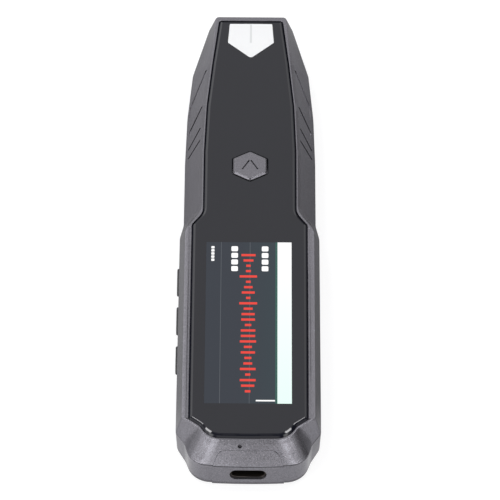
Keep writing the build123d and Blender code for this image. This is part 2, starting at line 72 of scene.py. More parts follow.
# Shell details
WALL = 1.8
SEAM_GAP = 0.20
SEAM_BEVEL = 0.06
SEAM_LEDGE = 0.07
LIP_Z = 7.42
LIP_BEND = 0.04
SIDE_LEVELS = (8.5, 9.5, 10.5, 11.4, 12.0)
WALL_LEVELS = (2.5, 4.0, 5.5)
TONGUE_INSET = 1.25
TONGUE_HEIGHT = 0.6
BASE_EDGE = 1.2
BASE_EDGE_STEPS = 6
FIT = 0.05
PAST = 1.0  # how far a cutter reaches past the wall that it opens
NOSE_START_Y = 64.0
NOSE_RISE = 1.5
MOUTH_WIDTH = 14.0
MOUTH_Z = (3.4, 9.8)
MOUTH_Y = (71.4, 80.0)
MOUTH_RADIUS = 1.2

# Outlines: corners of the right half from the tip to the inlet end, as (x, y, corner radius).
# The same corner stands at the same place in each list, so shells can be lofted between them.
SEAM_OUTLINE = (
    (11.15, 74.9, 1.2), (15.5, 57.2, 6.0), (16.75, 41.5, 60.0), (17.15, 25.0, 60.0), (17.15, 3.8, 6.0),
    (18.1, -0.6, 6.0), (18.15, -64.7, 1.8), (15.9, -68.2, 4.0), (14.2, -74.6, 6.0), (0.0, -75.55, 160.0),
)
RIM_OUTLINE = (
    (9.5, 74.4, 1.0), (10.65, 57.2, 30.0), (11.95, 41.5, 60.0), (12.5, 25.0, 60.0), (12.5, 4.8, 6.0),
    (16.65, -1.9, 4.0), (16.65, -64.1, 1.0), (12.6, -67.05, 2.6), (10.3, -71.05, 6.0), (0.0, -71.2, 160.0),
)
BASE_OUTLINE = (
    (10.9, 74.5, 1.4), (15.2, 57.0, 6.0), (16.45, 41.5, 60.0), (16.85, 25.0, 60.0), (16.85, 3.8, 6.0),
    (17.8, -0.6, 6.0), (17.85, -64.9, 4.0), (15.6, -69.2, 7.0), (13.6, -75.1, 6.0), (0.0, -75.75, 160.0),
)
PANEL_OUTLINE = (
    (8.55, 72.95, 0.9), (10.2, 57.2, 60.0), (11.55, 41.5, 60.0), (12.1, 25.0, 60.0), (12.1, 3.9, 5.0),
    (14.95, -0.3, 1.6), (14.95, -64.6, 1.1), (12.1, -66.8, 2.6), (9.85, -70.65, 5.6), (0.0, -70.8, 160.0),
)
# The panel's edge as (distance inwards, drop): a steep chamfer, then a facet that catches the light
PANEL_EDGE = ((0.03, 0.70), (0.49, 0.202), (0.53, 0.164), (0.56, 0.152), (0.97, 0.014), (1.02, 0.0))
PANEL_EDGE_START = 0.1  # where the edge starts to reach further at the inlet end
PANEL_END_REACH = 0.4  # and how much further
POCKET_Z = 12.3
ARC_STEPS = 12
RUN_STEPS = 4

# Across the rim, from its outer edge to the panel pocket: (share of the way, height, height beside
# the display, where the rim is a rounded ridge with a lower ledge inside it)
RIM_PROFILE = (
    (0.0, -0.09, -0.24), (0.07, -0.05, -0.20), (0.15, -0.025, -0.165), (0.25, -0.01, -0.12),
    (0.36, 0.0, -0.073), (0.50, 0.0, -0.018), (0.59, 0.0, 0.0), (0.63, 0.0, -0.04), (0.66, 0.0, -0.32),
    (0.69, 0.0, -0.36), (0.93, 0.0, -0.36), (0.97, -0.01, -0.38), (1.0, -0.05, -0.42),
)
RIDGE_Y = (-64.7, -63.7, -2.2, -0.6)  # starts, full, full, ends

# End pad round the inlet
PAD_PROUD = 0.28
PAD_WIDTH = 17.9
PAD_TOP_WIDTH = 14.4
PAD_TOP_Z = 10.5
PAD_RADIUS = 2.4
PAD_SIDE_RADIUS = 3.0
PAD_Y = (-80.0, -68.0)

# Grooves in the sloped sides: runs of (x, y) points on the right side
GROOVES = (
    ((11.9, 55.7), (15.85, 45.2), (16.0, 41.3)), ((12.8, 42.3), (16.0, 36.0), (16.1, 34.4)),
    ((13.2, 34.6), (16.3, 29.6)), ((13.2, 30.2), (16.3, 26.4)),
)
GROOVE_STEP = 1.2

# Holes
DISPLAY_ROOM = 0.15  # round the display's tray
MIC_HOLE = (-2.1, -72.35, 11.4)
MIC_HOLE_RADIUS = 0.5
MIC_HOLE_FLARE = (0.40, 0.22)
USB_Z = 4.25
USB_HOLE = (9.2, 3.4)
USB_HOLE_Y = (-75.95, -70.0)
USB_FLARE = (0.3, 0.25)
SIDE_BUTTON_Z = 4.5
SIDE_BUTTON_SIZE = (8.5, 3.0)
SIDE_BUTTON_SHIFT = 1.0
SIDE_BUTTON_ROOT_X = -15.3
SIDE_CAP_PROFILE = ((0.0, 0.7), (0.0, 0.3), (-0.1, 0.1), (-0.3, 0.0))  # growth, depth
SIDE_GAP = 0.12
KEY_HOLE_REACH = (14, 19)  # from the pen's middle outwards
SPEAKER_Y = 9.5
SLOT_SIZE = (9.0, 1.0)
SLOT_PITCH = 1.9
SLOT_COUNT = 5
HEAD_DEPTH = 2.0
HEAD_RADIUS = 1.45
HEAD_ROOM = 0.2
SCREW_RADIUS = 0.8
SHANK_ROOM = 0.15
SCREW_HEAD = ((0.35, 0.0), (0.1, 0.12), (0.0, 0.4), (0.0, 0.9))  # inwards from its radius, height
SCREW_CROSS = (0.85, 0.16)  # half length and half width of each recess
SCREW_CROSS_DEPTH = 0.5

# Aiming window, as (half width, y) of its corners, and its centre mark
WINDOW = ((5.7, 71.45, 0.2), (6.15, 64.5, 0.5), (0.0, 58.8, 0.9))
WINDOW_LEDGE = 0.5
WINDOW_MARK = (64.4, 71.3, 0.5)  # y0, y1, width

# Hexagonal button
HEX_Y = 19.75
HEX_ACROSS_FLATS = 8.9
HEX_TOP_Z = 13.52
HEX_CORNER_RADIUS = 0.7
HEX_GAP = 0.15
HEX_FLARE = (0.3, 0.25)
HEX_FLANGE = (1.0, 0.6)  # how far it stands out, and its thickness
HEX_STEM_RADIUS = 1.5
# Growth and drop from the top, after the first row at the flange
HEX_PROFILE = ((0.0, 0.44), (-0.02, 0.34), (-0.33, 0.07), (-0.41, 0.02), (-0.50, 0.0))
ARROW = (((-2.05, 18.25), (-0.2, 21.45)), ((0.2, 21.45), (2.05, 18.25)))
ARROW_DEPTH = 0.7

# Display: x0, x1, y0, y1 of the lit area
SCREEN = (-11.1, 10.8, -59.9, -6.6)
SCREEN_BAR_X = 7.2
SCREEN_BAR_EDGE = 0.55
SCREEN_BAR_WHITES = ((0.80, 1.0, 0.92), (1.0, 1.0, 1.0))  # at the inlet's end, at the other
SCREEN_EDGE_GREEN = (0.012, 0.085, 0.062)
SCREEN_LINES_X = (-7.25, 0.15)
SCREEN_LINE_GREY = (0.085, 0.095, 0.105)
SCREEN_TINT_X = -3.0  # where the tint begins
SCREEN_TINT = (0.9, 1.5, 1.25)  # what the field's colour is multiplied by beside the bar
LEVELS_Y = (-11.0, -56.0)
LEVELS_X = -0.25
LEVEL_LENGTHS = (0.9, 4.6)
LEVEL_THICKNESS = 0.75
LABELS = ((4.0, 1.7, 4), (-3.8, 1.7, 4), (-9.4, 0.8, 5))  # x, block size, count of each row
LABEL_PITCH = 1.32
LABEL_MARGIN = 1.4
CURSOR = (1.8, 6.6, 0.7, 1.15)  # x0, x1, then its two distances from the display's end
PRINT = 0.01

# Inlet contacts
CONTACT_X = -2.75
CONTACT_PITCH = 0.5
CONTACT_COUNT = 12
CONTACT_WIDTH = 0.28
CONTACT_REACH = (0.35, 3.6)


# ---------------------------------------------------------------- outlines and rows

def mirrored(corners):
    """Right-half corners carried round to the left, as one closed ring."""
    right = [corner for corner in corners if corner[0] > 0]
    middle = [corner for corner in corners if corner[0] == 0]
    return right + middle + [(-corner[0], *corner[1:]) for corner in reversed(right)]


def inset(corners, distance):
    """The same right-half corners moved inwards by distance, with their radii following."""
    first, last = corners[0], corners[-1]
    before = [(-first[0], first[1])] + [c[:2] for c in corners[:-1]]
    after = [c[:2] for c in corners[1:]]
    after.append((-corners[-2][0], corners[-2][1]) if last[0] == 0 else (-last[0], last[1]))
    moved = []
    for (x, y, radius), start, end in zip(corners, before, after):
        into = (Vector((x, y)) - Vector(start)).normalized()
        away = (Vector(end) - Vector((x, y))).normalized()
        normals = Vector((into.y, -into.x)) + Vector((away.y, -away.x))
        step = normals * (distance / (1 + into.dot(away)))
        convex = into.cross(away) < 0
        moved.append((x + step.x, y + step.y, max(radius + (-distance if convex else distance), 0.3)))
    if last[0] == 0:
        moved[-1] = (0.0, moved[-1][1], last[2])
    return moved


def between(low, high, share):
    """Corners that lie a share of the way from one outline to another."""
    return [tuple(a + (b - a) * share for a, b in zip(*pair)) for pair in zip(low, high)]


def rounded(corners, arc_steps=ARC_STEPS, run_steps=RUN_STEPS):
    """Points round a closed ring of (x, y, radius) corners: arcs at corners, runs between them."""
    count = len(corners)
    places = [Vector(corner[:2]) for corner in corners]
    runs = [places[(k + 1) % count] - places[k] for k in range(count)]
    turns = []
    for k in range(count):
        into, away = runs[k - 1].normalized(), runs[k].normalized()
        turns.append(math.atan2(into.cross(away), into.dot(away)))
    tangents = [max(math.tan(abs(turn) / 2), 1e-6) for turn in turns]
    wanted = [corner[2] * tangent for corner, tangent in zip(corners, tangents)]
    arcs = []
    for k in range(count):
        room_back = 0.96 * runs[k - 1].length * wanted[k] / max(wanted[k] + wanted[k - 1], 1e-6)
        room_ahead = 0.96 * runs[k].length * wanted[k] / max(wanted[k] + wanted[(k + 1) % count], 1e-6)
        reach = min(wanted[k], room_back, room_ahead)
        into = runs[k - 1].normalized()
        side = Vector((-into.y, into.x)) * math.copysign(1.0, turns[k])
        start = places[k] - into * reach
        centre = start + side * (reach / tangents[k])
        steps = [turns[k] * step / arc_steps for step in range(arc_steps + 1)]
        arcs.append([centre + Matrix.Rotation(step, 2) @ (start - centre) for step in steps])
    points = []
    for index, arc in enumerate(arcs):
        points += arc
        start, end = arc[-1], arcs[(index + 1) % count][0]
        points += [start.lerp(end, k / run_steps) for k in range(1, run_steps)]
    return points


def ring(points, z):
    """Flat points set at a height."""
    return [Vector((p[0], p[1], z)) for p in points]


def row(corners, z):
    """The ring of points of a right-half outline, at a height."""
    return ring(rounded(mirrored(corners)), z)


def side_at(z):
    """Outline of the sloped side of the upper shell at a height."""
    return between(SEAM_OUTLINE, RIM_OUTLINE, (z - LIP_Z) / (RIM_Z - LIP_Z))


def ramp(value, low, high):
    """0 at low, 1 at high, smooth between them."""
    share = min(max((value - low) / (high - low), 0.0), 1.0)
    return share * share * (3 - 2 * share)


# ---------------------------------------------------------------- meshes and tools

def new_object(name, bm):
    """A mesh object made from a bmesh, with its faces pointing outwards."""
    bmesh.ops.recalc_face_normals(bm, faces=bm.faces[:])
    mesh = bpy.data.meshes.new(name)
    bm.to_mesh(mesh)
    bm.free()
    made = bpy.data.objects.new(name, mesh)
    bpy.context.scene.collection.objects.link(made)
    return made


def loft(name, rows):
    """Closed solid through rows of equally many points."""
    bm = bmesh.new()
    rings = [[bm.verts.new(point) for point in points] for points in rows]
    for low, high in zip(rings, rings[1:]):
        for index in range(len(low)):
            bm.faces.new((low[index - 1], low[index], high[index], high[index - 1]))
    bm.faces.new(rings[0])
    bm.faces.new(rings[-1])
    return new_object(name, bm)


def prism(name, points, z0, z1, flare=None):
    """Straight solid over 2D points. flare=(height, growth) widens its top like a countersink."""
    rows = [ring(points, z0), ring(points, z1)]
    if flare:
        height, growth = flare
        centre = sum((Vector(p[:2]) for p in points), Vector((0, 0))) / len(points)
        wide = []
        for index, point in enumerate(points):
            here = Vector(point[:2])
            along = Vector(points[(index + 1) % len(points)][:2]) - Vector(points[index - 1][:2])
            out = Vector((along.y, -along.x)).normalized()
            if out.dot(here - centre) < 0:
                out = -out
            wide.append(here + out * growth)
        rows[1:] = ring(points, z1 - height), ring(wide, z1)
    return loft(name, rows)


def plate(name, points, z, half=PRINT):
    """Thin plate round a height, as a print on a face is."""
    return prism(name, points, z - half, z + half)


def placed(made, matrix):
    """The same object with its mesh moved."""
    made.data.transform(matrix)
    made.data.update()
    return made


def slot_points(length, width, steps=12):
    """Round-ended slot, long in x."""
    half, radius = (length - width) / 2, width / 2
    points = []
    for centre, start in ((half, -90), (-half, 90)):
        for k in range(steps + 1):
            angle = math.radians(start + 180 * k / steps)
            points.append((centre + radius * math.cos(angle), radius * math.sin(angle)))
    return points


def rectangle_points(x0, x1, y0, y1, radius=0.0, steps=6):
    corners = ((x1, y0, radius), (x1, y1, radius), (x0, y1, radius), (x0, y0, radius))
    if radius:
        return [tuple(p) for p in rounded(corners, steps, 1)]
    return [corner[:2] for corner in corners]


def circle_points(x, y, radius, steps=32):
    angles = [2 * math.pi * k / steps for k in range(steps)]
    return [(x + radius * math.cos(a), y + radius * math.sin(a)) for a in angles]


def window_points(grow=0.0):
    corners = inset(WINDOW, -grow)
    return [tuple(p) for p in rounded(mirrored(corners), 6, 1)]


def hexagon_points(grow=0.0, radius=HEX_CORNER_RADIUS, steps=6):
    reach = (HEX_ACROSS_FLATS / 2 + grow) / math.cos(math.pi / 6)
    angles = [math.radians(30 - 60 * k) for k in range(6)]
    corners = [(reach * math.cos(a), HEX_Y + reach * math.sin(a), radius) for a in angles]
    return [tuple(p) for p in rounded(corners, steps, 2)]


def settle(made):
    """Turns what the modifiers give into a plain mesh and removes them."""
    graph = bpy.context.evaluated_depsgraph_get()
    old = made.data
    made.data = bpy.data.meshes.new_from_object(made.evaluated_get(graph))
    made.modifiers.clear()
    bpy.data.meshes.remove(old)
    return made


def combine(made, operation, *tools):
    """One exact Boolean with each tool in turn; the tools are removed."""
    for tool in tools:
        modifier = made.modifiers.new(tool.name, "BOOLEAN")
        modifier.operation = operation
        modifier.solver = "EXACT"
        modifier.object = tool
        tool.hide_render = True
    settle(made)
    for tool in tools:
        bpy.data.objects.remove(tool)
    return made


def join(made, *others):
    """Puts the meshes of other objects into one, as loose parts."""
    bm = bmesh.new()
    bm.from_mesh(made.data)
    for other in others:
        bm.from_mesh(other.data)
        bpy.data.objects.remove(other)
    bm.to_mesh(made.data)
    bm.free()
    return made


def node_box(*nodes):
    """Lowest and highest corner round some CAD nodes, in millimetres."""
    corners = [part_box(node) for node in nodes]
    low = [min(c[0][i] for c in corners) / MM for i in range(3)]
    high = [max(c[1][i] for c in corners) / MM for i in range(3)]
    return Vector(low), Vector(high)


def finish_piece(made, body, material, nodes=(), angle=35.0):
    """Scales a modelled piece to metres, smooths it, paints it and ties it to the frame."""
    made.data.transform(Matrix.Scale(MM, 4))
    made.data.shade_smooth()
    made.data.set_sharp_from_angle(angle=math.radians(angle))
    flatter = made.modifiers.new("weighted", "WEIGHTED_NORMAL")
    flatter.keep_sharp = True
    settle(made)
    made.data.materials.clear()
    made.data.materials.append(material)
    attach(made, body)
    if nodes:
        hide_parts(*nodes)
    return made


def smooth_copy(node, body, material, angle=35.0):
    """A merged copy of a CAD node's mesh that stands for it, shaded smooth."""
    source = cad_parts[node]
    bm = bmesh.new()
    bm.from_mesh(source.data)
    bmesh.ops.remove_doubles(bm, verts=bm.verts[:], dist=1e-6)
    made = new_object("fine_" + node, bm)
    made.data.transform(Matrix.Scale(1 / MM, 4))
    return finish_piece(made, body, material, (node,), angle)


# ---------------------------------------------------------------- shader building

class Tree:
    """Short ways to add and link nodes in one node tree."""

    def __init__(self, tree, clear=True):
        self.tree = tree
        if clear:
            tree.nodes.clear()

    def feed(self, value, socket):
        """Links another node's output to a socket, or sets the socket to a value."""
        if isinstance(value, bpy.types.NodeSocket):
            self.tree.links.new(value, socket)
        elif socket.type == "RGBA":
            socket.default_value = (*value[:3], 1.0)
        else:
            socket.default_value = value

    def add(self, kind, inputs=(), **settings):
        """A node with its own settings, and with values or outputs for the inputs named or numbered."""
        node = self.tree.nodes.new(kind)
        for name, value in settings.items():
            setattr(node, name, value)
        for name, value in dict(inputs).items():
            self.feed(value, node.inputs[name])
        return node

    def math(self, operation, *values, clamp=False):
        node = self.add("ShaderNodeMath", enumerate(values), operation=operation, use_clamp=clamp)
        return node.outputs[0]

    def mix(self, share, first, second):
        """Colour mix; each input is an output or a value."""
        inputs = {0: share, 6: first, 7: second}
        return self.add("ShaderNodeMix", inputs, data_type="RGBA").outputs[2]

    def fade(self, value, start, full, most=1.0):
        """0 up to start, most from full on, and smooth between them."""
        inputs = {"Value": value, "From Min": start, "From Max": full, "To Max": most}
        return self.add("ShaderNodeMapRange", inputs, interpolation_type="SMOOTHSTEP").outputs["Result"]


def shared_group(name, kind, inputs, outputs, build):
    """The node group of that name. The first time, build(tree, inputs, outputs) fills it."""
    if name in bpy.data.node_groups:
        return bpy.data.node_groups[name]
    group = bpy.data.node_groups.new(name, kind)
    for way, sockets in (("INPUT", inputs), ("OUTPUT", outputs)):
        for label, socket_type, *default in sockets:
            socket = group.interface.new_socket(label, in_out=way, socket_type="NodeSocket" + socket_type)
            if default:
                socket.default_value = default[0]
    tree = Tree(group)
    build(tree, tree.add("NodeGroupInput").outputs, tree.add("NodeGroupOutput").inputs)
    return group


def grain_group():
    """Fine surface grain: a tint from 0 to 1 and a height, both from Object coordinates."""
    def build(tree, into, out):
        coords = tree.add("ShaderNodeTexCoord").outputs["Object"]

        def noise(size, detail):
            inputs = {"Vector": coords, "Scale": tree.math("DIVIDE", 1 / MM, size), "Detail": detail}
            return tree.add("ShaderNodeTexNoise", inputs).outputs["Fac"]

        fine, broad = noise(into["Grain Size"], 2.0), noise(into["Blotch Size"], 3.0)
        share = into["Blotch Share"]
        fine_part = tree.math("MULTIPLY", fine, tree.math("SUBTRACT", 1.0, share))
        tree.feed(tree.math("ADD", fine_part, tree.math("MULTIPLY", broad, share)), out["Tint"])
        tree.feed(fine, out["Height"])

    sizes = (("Grain Size", "Float", 0.25), ("Blotch Size", "Float", 9.0), ("Blotch Share", "Float", 0.3))
    results = (("Tint", "Float"), ("Height", "Float"))
    return shared_group("pen_grain", "ShaderNodeTree", sizes, results, build)


def new_material(name, inputs):
    """A material with one Principled shader that has these inputs: itself, its tree, its shader."""
    material = bpy.data.materials.new(name)
    material.use_nodes = True
    tree = Tree(material.node_tree)
    skin = tree.add("ShaderNodeBsdfPrincipled", inputs)
    tree.add("ShaderNodeOutputMaterial", {"Surface": skin.outputs["BSDF"]})
    return material, tree, skin


def shader_of(material):
    return next(node for node in material.node_tree.nodes if node.type == "BSDF_PRINCIPLED")


def emboss(tree, skin, height, depth):
    """Gives a shader's surface a fine height, depth millimetres deep."""
    relief = tree.add("ShaderNodeBump", {"Strength": 1.0, "Distance": depth * MM, "Height": height})
    tree.feed(relief.outputs["Normal"], skin.inputs["Normal"])


def finish_material(name, color, roughness, metallic=0.0, contrast=0.12, grain=0.25, bump=0.02,
                    blotch=0.3, rough_swing=0.0):
    """Solid finish with grain: its tint and roughness vary, and its surface has a fine height."""
    name = "look_" + name
    if name in bpy.data.materials:
        return bpy.data.materials[name]
    material, tree, skin = new_material(name, {"Metallic": metallic, "Roughness": roughness})
    inputs = {"Grain Size": grain, "Blotch Share": blotch}
    surface = tree.add("ShaderNodeGroup", inputs, node_tree=grain_group())
    tint = surface.outputs["Tint"]
    dark = [c * (1 - contrast) for c in color]
    light = [min(c * (1 + contrast), 1.0) for c in color]
    tree.feed(tree.mix(tint, dark, light), skin.inputs["Base Color"])
    if rough_swing:
        varied = tree.math("MULTIPLY_ADD", tint, 2 * rough_swing, roughness - rough_swing, clamp=True)
        tree.feed(varied, skin.inputs["Roughness"])
    if bump:
        emboss(tree, skin, surface.outputs["Height"], bump)
    return material


def cloth_material(name, color, thread):
    """Plain weave: two sets of threads, thread apart, that pass over and under each other."""
    material = finish_material(name, color, 0.85, contrast=0.3, grain=0.1, bump=0.0)
    tree = Tree(material.node_tree, clear=False)
    inputs = {"Vector": tree.add("ShaderNodeTexCoord").outputs["Object"], "Scale": 0.31 / (thread * MM)}
    waves = [tree.add("ShaderNodeTexWave", inputs, bands_direction=axis).outputs["Fac"] for axis in "XY"]
    emboss(tree, shader_of(material), tree.math("MAXIMUM", *waves), 0.08)
    return material


def lit_material(name, color):
    """Lit print under a glossy face."""
    material = finish_material(name, [c * 0.05 for c in color], 0.1, contrast=0.05, bump=0.0)
    inputs = shader_of(material).inputs
    inputs["Emission Color"].default_value = (*color, 1.0)
    inputs["Emission Strength"].default_value = 1.0
    return material


# ---------------------------------------------------------------- settings

def color_setting(name, description, default):
    return bpy.props.FloatVectorProperty(
        name=name, description=description, subtype="COLOR", size=3, min=0.0, max=1.0, default=default)


def share_setting(name, description, default):
    return bpy.props.FloatProperty(
        name=name, description=description, subtype="FACTOR", min=0.0, max=1.0, default=default)


def length_setting(name, description, default):
    return bpy.props.FloatProperty(name=name, description=description, unit="LENGTH", default=default)


def angle_setting(name, description, degrees):
    return bpy.props.FloatProperty(
        name=name, description=description, subtype="ANGLE", default=math.radians(degrees))


class PenShellSettings(bpy.types.PropertyGroup):
    """Paint and grooves of the two shells."""
    paint: color_setting("Paint", "Colour of the gunmetal paint", (0.190, 0.185, 0.206))
    roughness: share_setting("Roughness", "Roughness of the paint", 0.25)
    flake: share_setting("Flake", "Metallic share of the paint", 0.8)
    groove_width: length_setting("Groove width", "Width of the side grooves", 0.00038)
    groove_depth: length_setting("Groove depth", "Depth of the side grooves, straight down", 0.0007)


class PenPanelSettings(bpy.types.PropertyGroup):
    """Front panel, aiming window and display."""
    black: color_setting("Black", "Colour of the panel", (0.003, 0.0035, 0.009))
    window_white: color_setting("Window", "Colour of the aiming window", (0.88, 0.885, 0.90))
    screen: color_setting("Screen", "Colour of the lit background", (0.010, 0.016, 0.024))
    signal: color_setting("Signal", "Colour of the level bars", (0.80, 0.035, 0.018))
    bar_count: bpy.props.IntProperty(
        name="Level bars", description="How many level bars the display shows", min=3, max=60, default=26)
    seed: bpy.props.IntProperty(
        name="Seed", description="Seed of the level bars' lengths", min=0, default=7)


class PenKeySettings(bpy.types.PropertyGroup):
    """Hexagonal button and side keys."""
    side_key: color_setting("Side keys", "Colour of the side keys", (0.035, 0.034, 0.038))
    stroke: length_setting("Arrow stroke", "Width of the arrowhead's strokes", 0.00036)


class PenStageSettings(bpy.types.PropertyGroup):
    """Camera and light."""
    distance: length_setting("Distance", "From the camera to its target", 1.090)
    elevation: angle_setting("Elevation", "Angle of the camera above the table", 49)
    roll: angle_setting("Roll", "Turn of the camera about its own axis", 0.37)
    lens: bpy.props.FloatProperty(
        name="Lens", description="Focal length in millimetres", unit="CAMERA", default=305.3)
    strip_power: bpy.props.FloatProperty(
        name="Strip lights", description="Power of each strip light overhead", unit="POWER", default=1.1)


# ---------------------------------------------------------------- shells

def rim_rows():
    """Rows across the rim: plain beside the button, a ridge with a groove beside the display."""
    outer = rounded(mirrored(RIM_OUTLINE))
    inner = rounded(mirrored(inset(PANEL_OUTLINE, -FIT)))
    rows = []
    for share, plain, ridged in RIM_PROFILE:
        points = []
        for start, end in zip(outer, inner):
            spot = start.lerp(end, share)
            ridge = ramp(spot.y, *RIDGE_Y[:2]) * (1 - ramp(spot.y, *RIDGE_Y[2:]))
            points.append(Vector((spot.x, spot.y, RIM_Z + plain + (ridged - plain) * ridge)))
        rows.append(points)
    return rows


def upper_rows():
    """Rows of the upper shell's outside, from the seam over its upright lip to the rim's outer edge."""
    start_z = SEAM_Z + SEAM_GAP
    rows = [row(inset(SEAM_OUTLINE, SEAM_BEVEL), start_z), row(SEAM_OUTLINE, start_z + SEAM_BEVEL)]
    rows += [row(SEAM_OUTLINE, LIP_Z - SEAM_BEVEL), row(side_at(LIP_Z + 2 * LIP_BEND), LIP_Z + LIP_BEND)]
    return rows + [row(side_at(z), z) for z in SIDE_LEVELS]


def lower_rows():
    """Rows of the lower shell's outside, from the flat back over its round edge to the seam."""
    rows = []
    for k in range(BASE_EDGE_STEPS + 1):
        angle = math.radians(90 * k / BASE_EDGE_STEPS)
        z = BASE_EDGE * (1 - math.cos(angle))
        side = between(BASE_OUTLINE, SEAM_OUTLINE, z / SEAM_Z)
        rows.append(row(inset(side, BASE_EDGE * (1 - math.sin(angle))), z))
    for z in (*WALL_LEVELS, SEAM_Z - SEAM_LEDGE):
        rows.append(row(between(BASE_OUTLINE, SEAM_OUTLINE, z / SEAM_Z), z))
    rows.append(row(inset(SEAM_OUTLINE, SEAM_LEDGE), SEAM_Z))
    return rows


def prism_along_y(name, points, y_range, flare=None):
    """Straight solid over points in x and z, between two places along Y; a flare is at its low end."""
    made = prism(name, points, -y_range[1], -y_range[0], flare)
    return placed(made, Matrix.Rotation(math.radians(90), 4, "X"))


def pad_tool():
    """Straight solid along Y that holds the outline of the raised pad."""
    low, high = PAD_WIDTH / 2, PAD_TOP_WIDTH / 2
    corners = [(low, -6.0, 0.1), (low, SEAM_Z, PAD_SIDE_RADIUS), (high, PAD_TOP_Z, PAD_RADIUS)]
    corners += [(-x, z, radius) for x, z, radius in reversed(corners)]
    return prism_along_y("pad", [tuple(p) for p in rounded(corners, 10, 1)], PAD_Y)


def pad_from(rows):
    """The raised pad: the shell as one block, pushed out a little and cut to the pad's outline."""
    form = placed(loft("form", rows), Matrix.Translation((0, -PAD_PROUD, 0)))
    return combine(form, "INTERSECT", pad_tool())


def mouth_tool():
    points = rectangle_points(-MOUTH_WIDTH / 2, MOUTH_WIDTH / 2, *MOUTH_Z, MOUTH_RADIUS)
    return prism_along_y("mouth", points, MOUTH_Y)


def groove_paths(shell):
    """The grooves' centre lines, laid on the shell's sloped sides."""
    tree = BVHTree.FromObject(shell, bpy.context.evaluated_depsgraph_get())
    above, down = RIM_Z + PAST, Vector((0, 0, -1))
    paths = []
    for run in GROOVES:
        spots = []
        for start, end in zip(run, run[1:]):
            start, end = Vector(start), Vector(end)
            steps = max(2, round((end - start).length / GROOVE_STEP))
            spots += [start.lerp(end, k / steps) for k in range(steps)]
        spots.append(Vector(run[-1]))
        for side in (1, -1):
            paths.append([tree.ray_cast(Vector((side * spot.x, spot.y, above)), down)[0] for spot in spots])
    return paths


def mic_hole_tool():
    """Hole square to the sloped end, with a countersunk mouth."""
    drop, run = RIM_Z - SEAM_Z, RIM_OUTLINE[-1][1] - SEAM_OUTLINE[-1][1]
    out = Vector((0, -drop, run)).normalized()
    tool = prism("mic", circle_points(0, 0, MIC_HOLE_RADIUS), -2 * PAST, 0.2, MIC_HOLE_FLARE)
    turn = out.to_track_quat("Z", "X").to_matrix().to_4x4()
    return placed(tool, Matrix.Translation(MIC_HOLE) @ turn)


def tray_tools():
    """Holes in the tray for the display, the button and the aiming window."""
    low, high = node_box("display_frame")
    gap = DISPLAY_ROOM
    display = rectangle_points(low.x - gap, high.x + gap, low.y - gap, high.y + gap)
    faces = (display, hexagon_points(2 * HEX_GAP, 0.0), window_points(-WINDOW_LEDGE))
    return [prism("tray_hole", points, TRAY_Z - PAST, RIM_Z) for points in faces]


def upper_shell(groove):
    """Upper shell with its tray, panel pocket, end pad, grooves and holes."""
    tongue_top, groove_wall = SEAM_Z + TONGUE_HEIGHT + FIT, inset(SEAM_OUTLINE, TONGUE_INSET - FIT)
    inside = [
        row(inset(side_at(TRAY_Z), WALL), TRAY_Z), row(inset(SEAM_OUTLINE, WALL), tongue_top),
        row(groove_wall, tongue_top), row(groove_wall, SEAM_Z + SEAM_GAP),
    ]
    pocket = [row(inset(PANEL_OUTLINE, -FIT), z) for z in (POCKET_Z, SEAT_Z)]
    shell = loft("upper_shell", inside + upper_rows() + rim_rows() + pocket)
    grooves = cut_along("side_grooves", groove_paths(shell), *groove)
    combine(shell, "UNION", pad_from(upper_rows() + rim_rows()))
    combine(shell, "DIFFERENCE", grooves)
    return combine(shell, "DIFFERENCE", mouth_tool(), mic_hole_tool(), *tray_tools())


def lift_nose(made):
    """Lifts the underside towards the tip and fades the lift out below the mouth."""
    slope = NOSE_RISE / (BASE_OUTLINE[0][1] - NOSE_START_Y)
    bm = bmesh.new()
    bm.from_mesh(made.data)
    bmesh.ops.bisect_plane(bm, geom=bm.verts[:] + bm.edges[:] + bm.faces[:], dist=1e-5,
                           plane_co=(0, NOSE_START_Y, 0), plane_no=(0, 1, 0))
    for vertex in bm.verts:
        rise = max(vertex.co.y - NOSE_START_Y, 0.0) * slope
        vertex.co.z += rise * (1 - ramp(vertex.co.z, FLOOR, MOUTH_Z[0]))
    bm.to_mesh(made.data)
    bm.free()
    return made


def slot_tools():
    """Speaker slots, repeated by the row tree."""
    width = SLOT_PITCH * (SLOT_COUNT - 1)
    slot = prism("slot", slot_points(*SLOT_SIZE), -PAST, FLOOR + PAST)
    return repeat(slot, "speaker_slots", SLOT_COUNT, (0, SPEAKER_Y - width / 2, 0), (0, SLOT_PITCH, 0))


def side_button_middle(number):
    """Where the middle of a side key is along Y."""
    low, high = node_box(f"side_button_{number}")
    return (low.y + high.y) / 2 + SIDE_BUTTON_SHIFT


def key_hole_tool(number):
    """Hole through the left wall for one side key."""
    length, height = SIDE_BUTTON_SIZE
    points = slot_points(length + 2 * SIDE_GAP, height + 2 * SIDE_GAP)
    hole = prism("key_hole", points, *KEY_HOLE_REACH)
    turn = Matrix.Rotation(math.radians(-90), 4, "Y") @ Matrix.Rotation(math.radians(90), 4, "Z")
    return placed(hole, Matrix.Translation((0, side_button_middle(number), SIDE_BUTTON_Z)) @ turn)


def screw_place():
    """Where the right-hand screw stands in x and y."""
    low, high = node_box("case_screws")
    return high.x - HEAD_RADIUS, (low.y + high.y) / 2


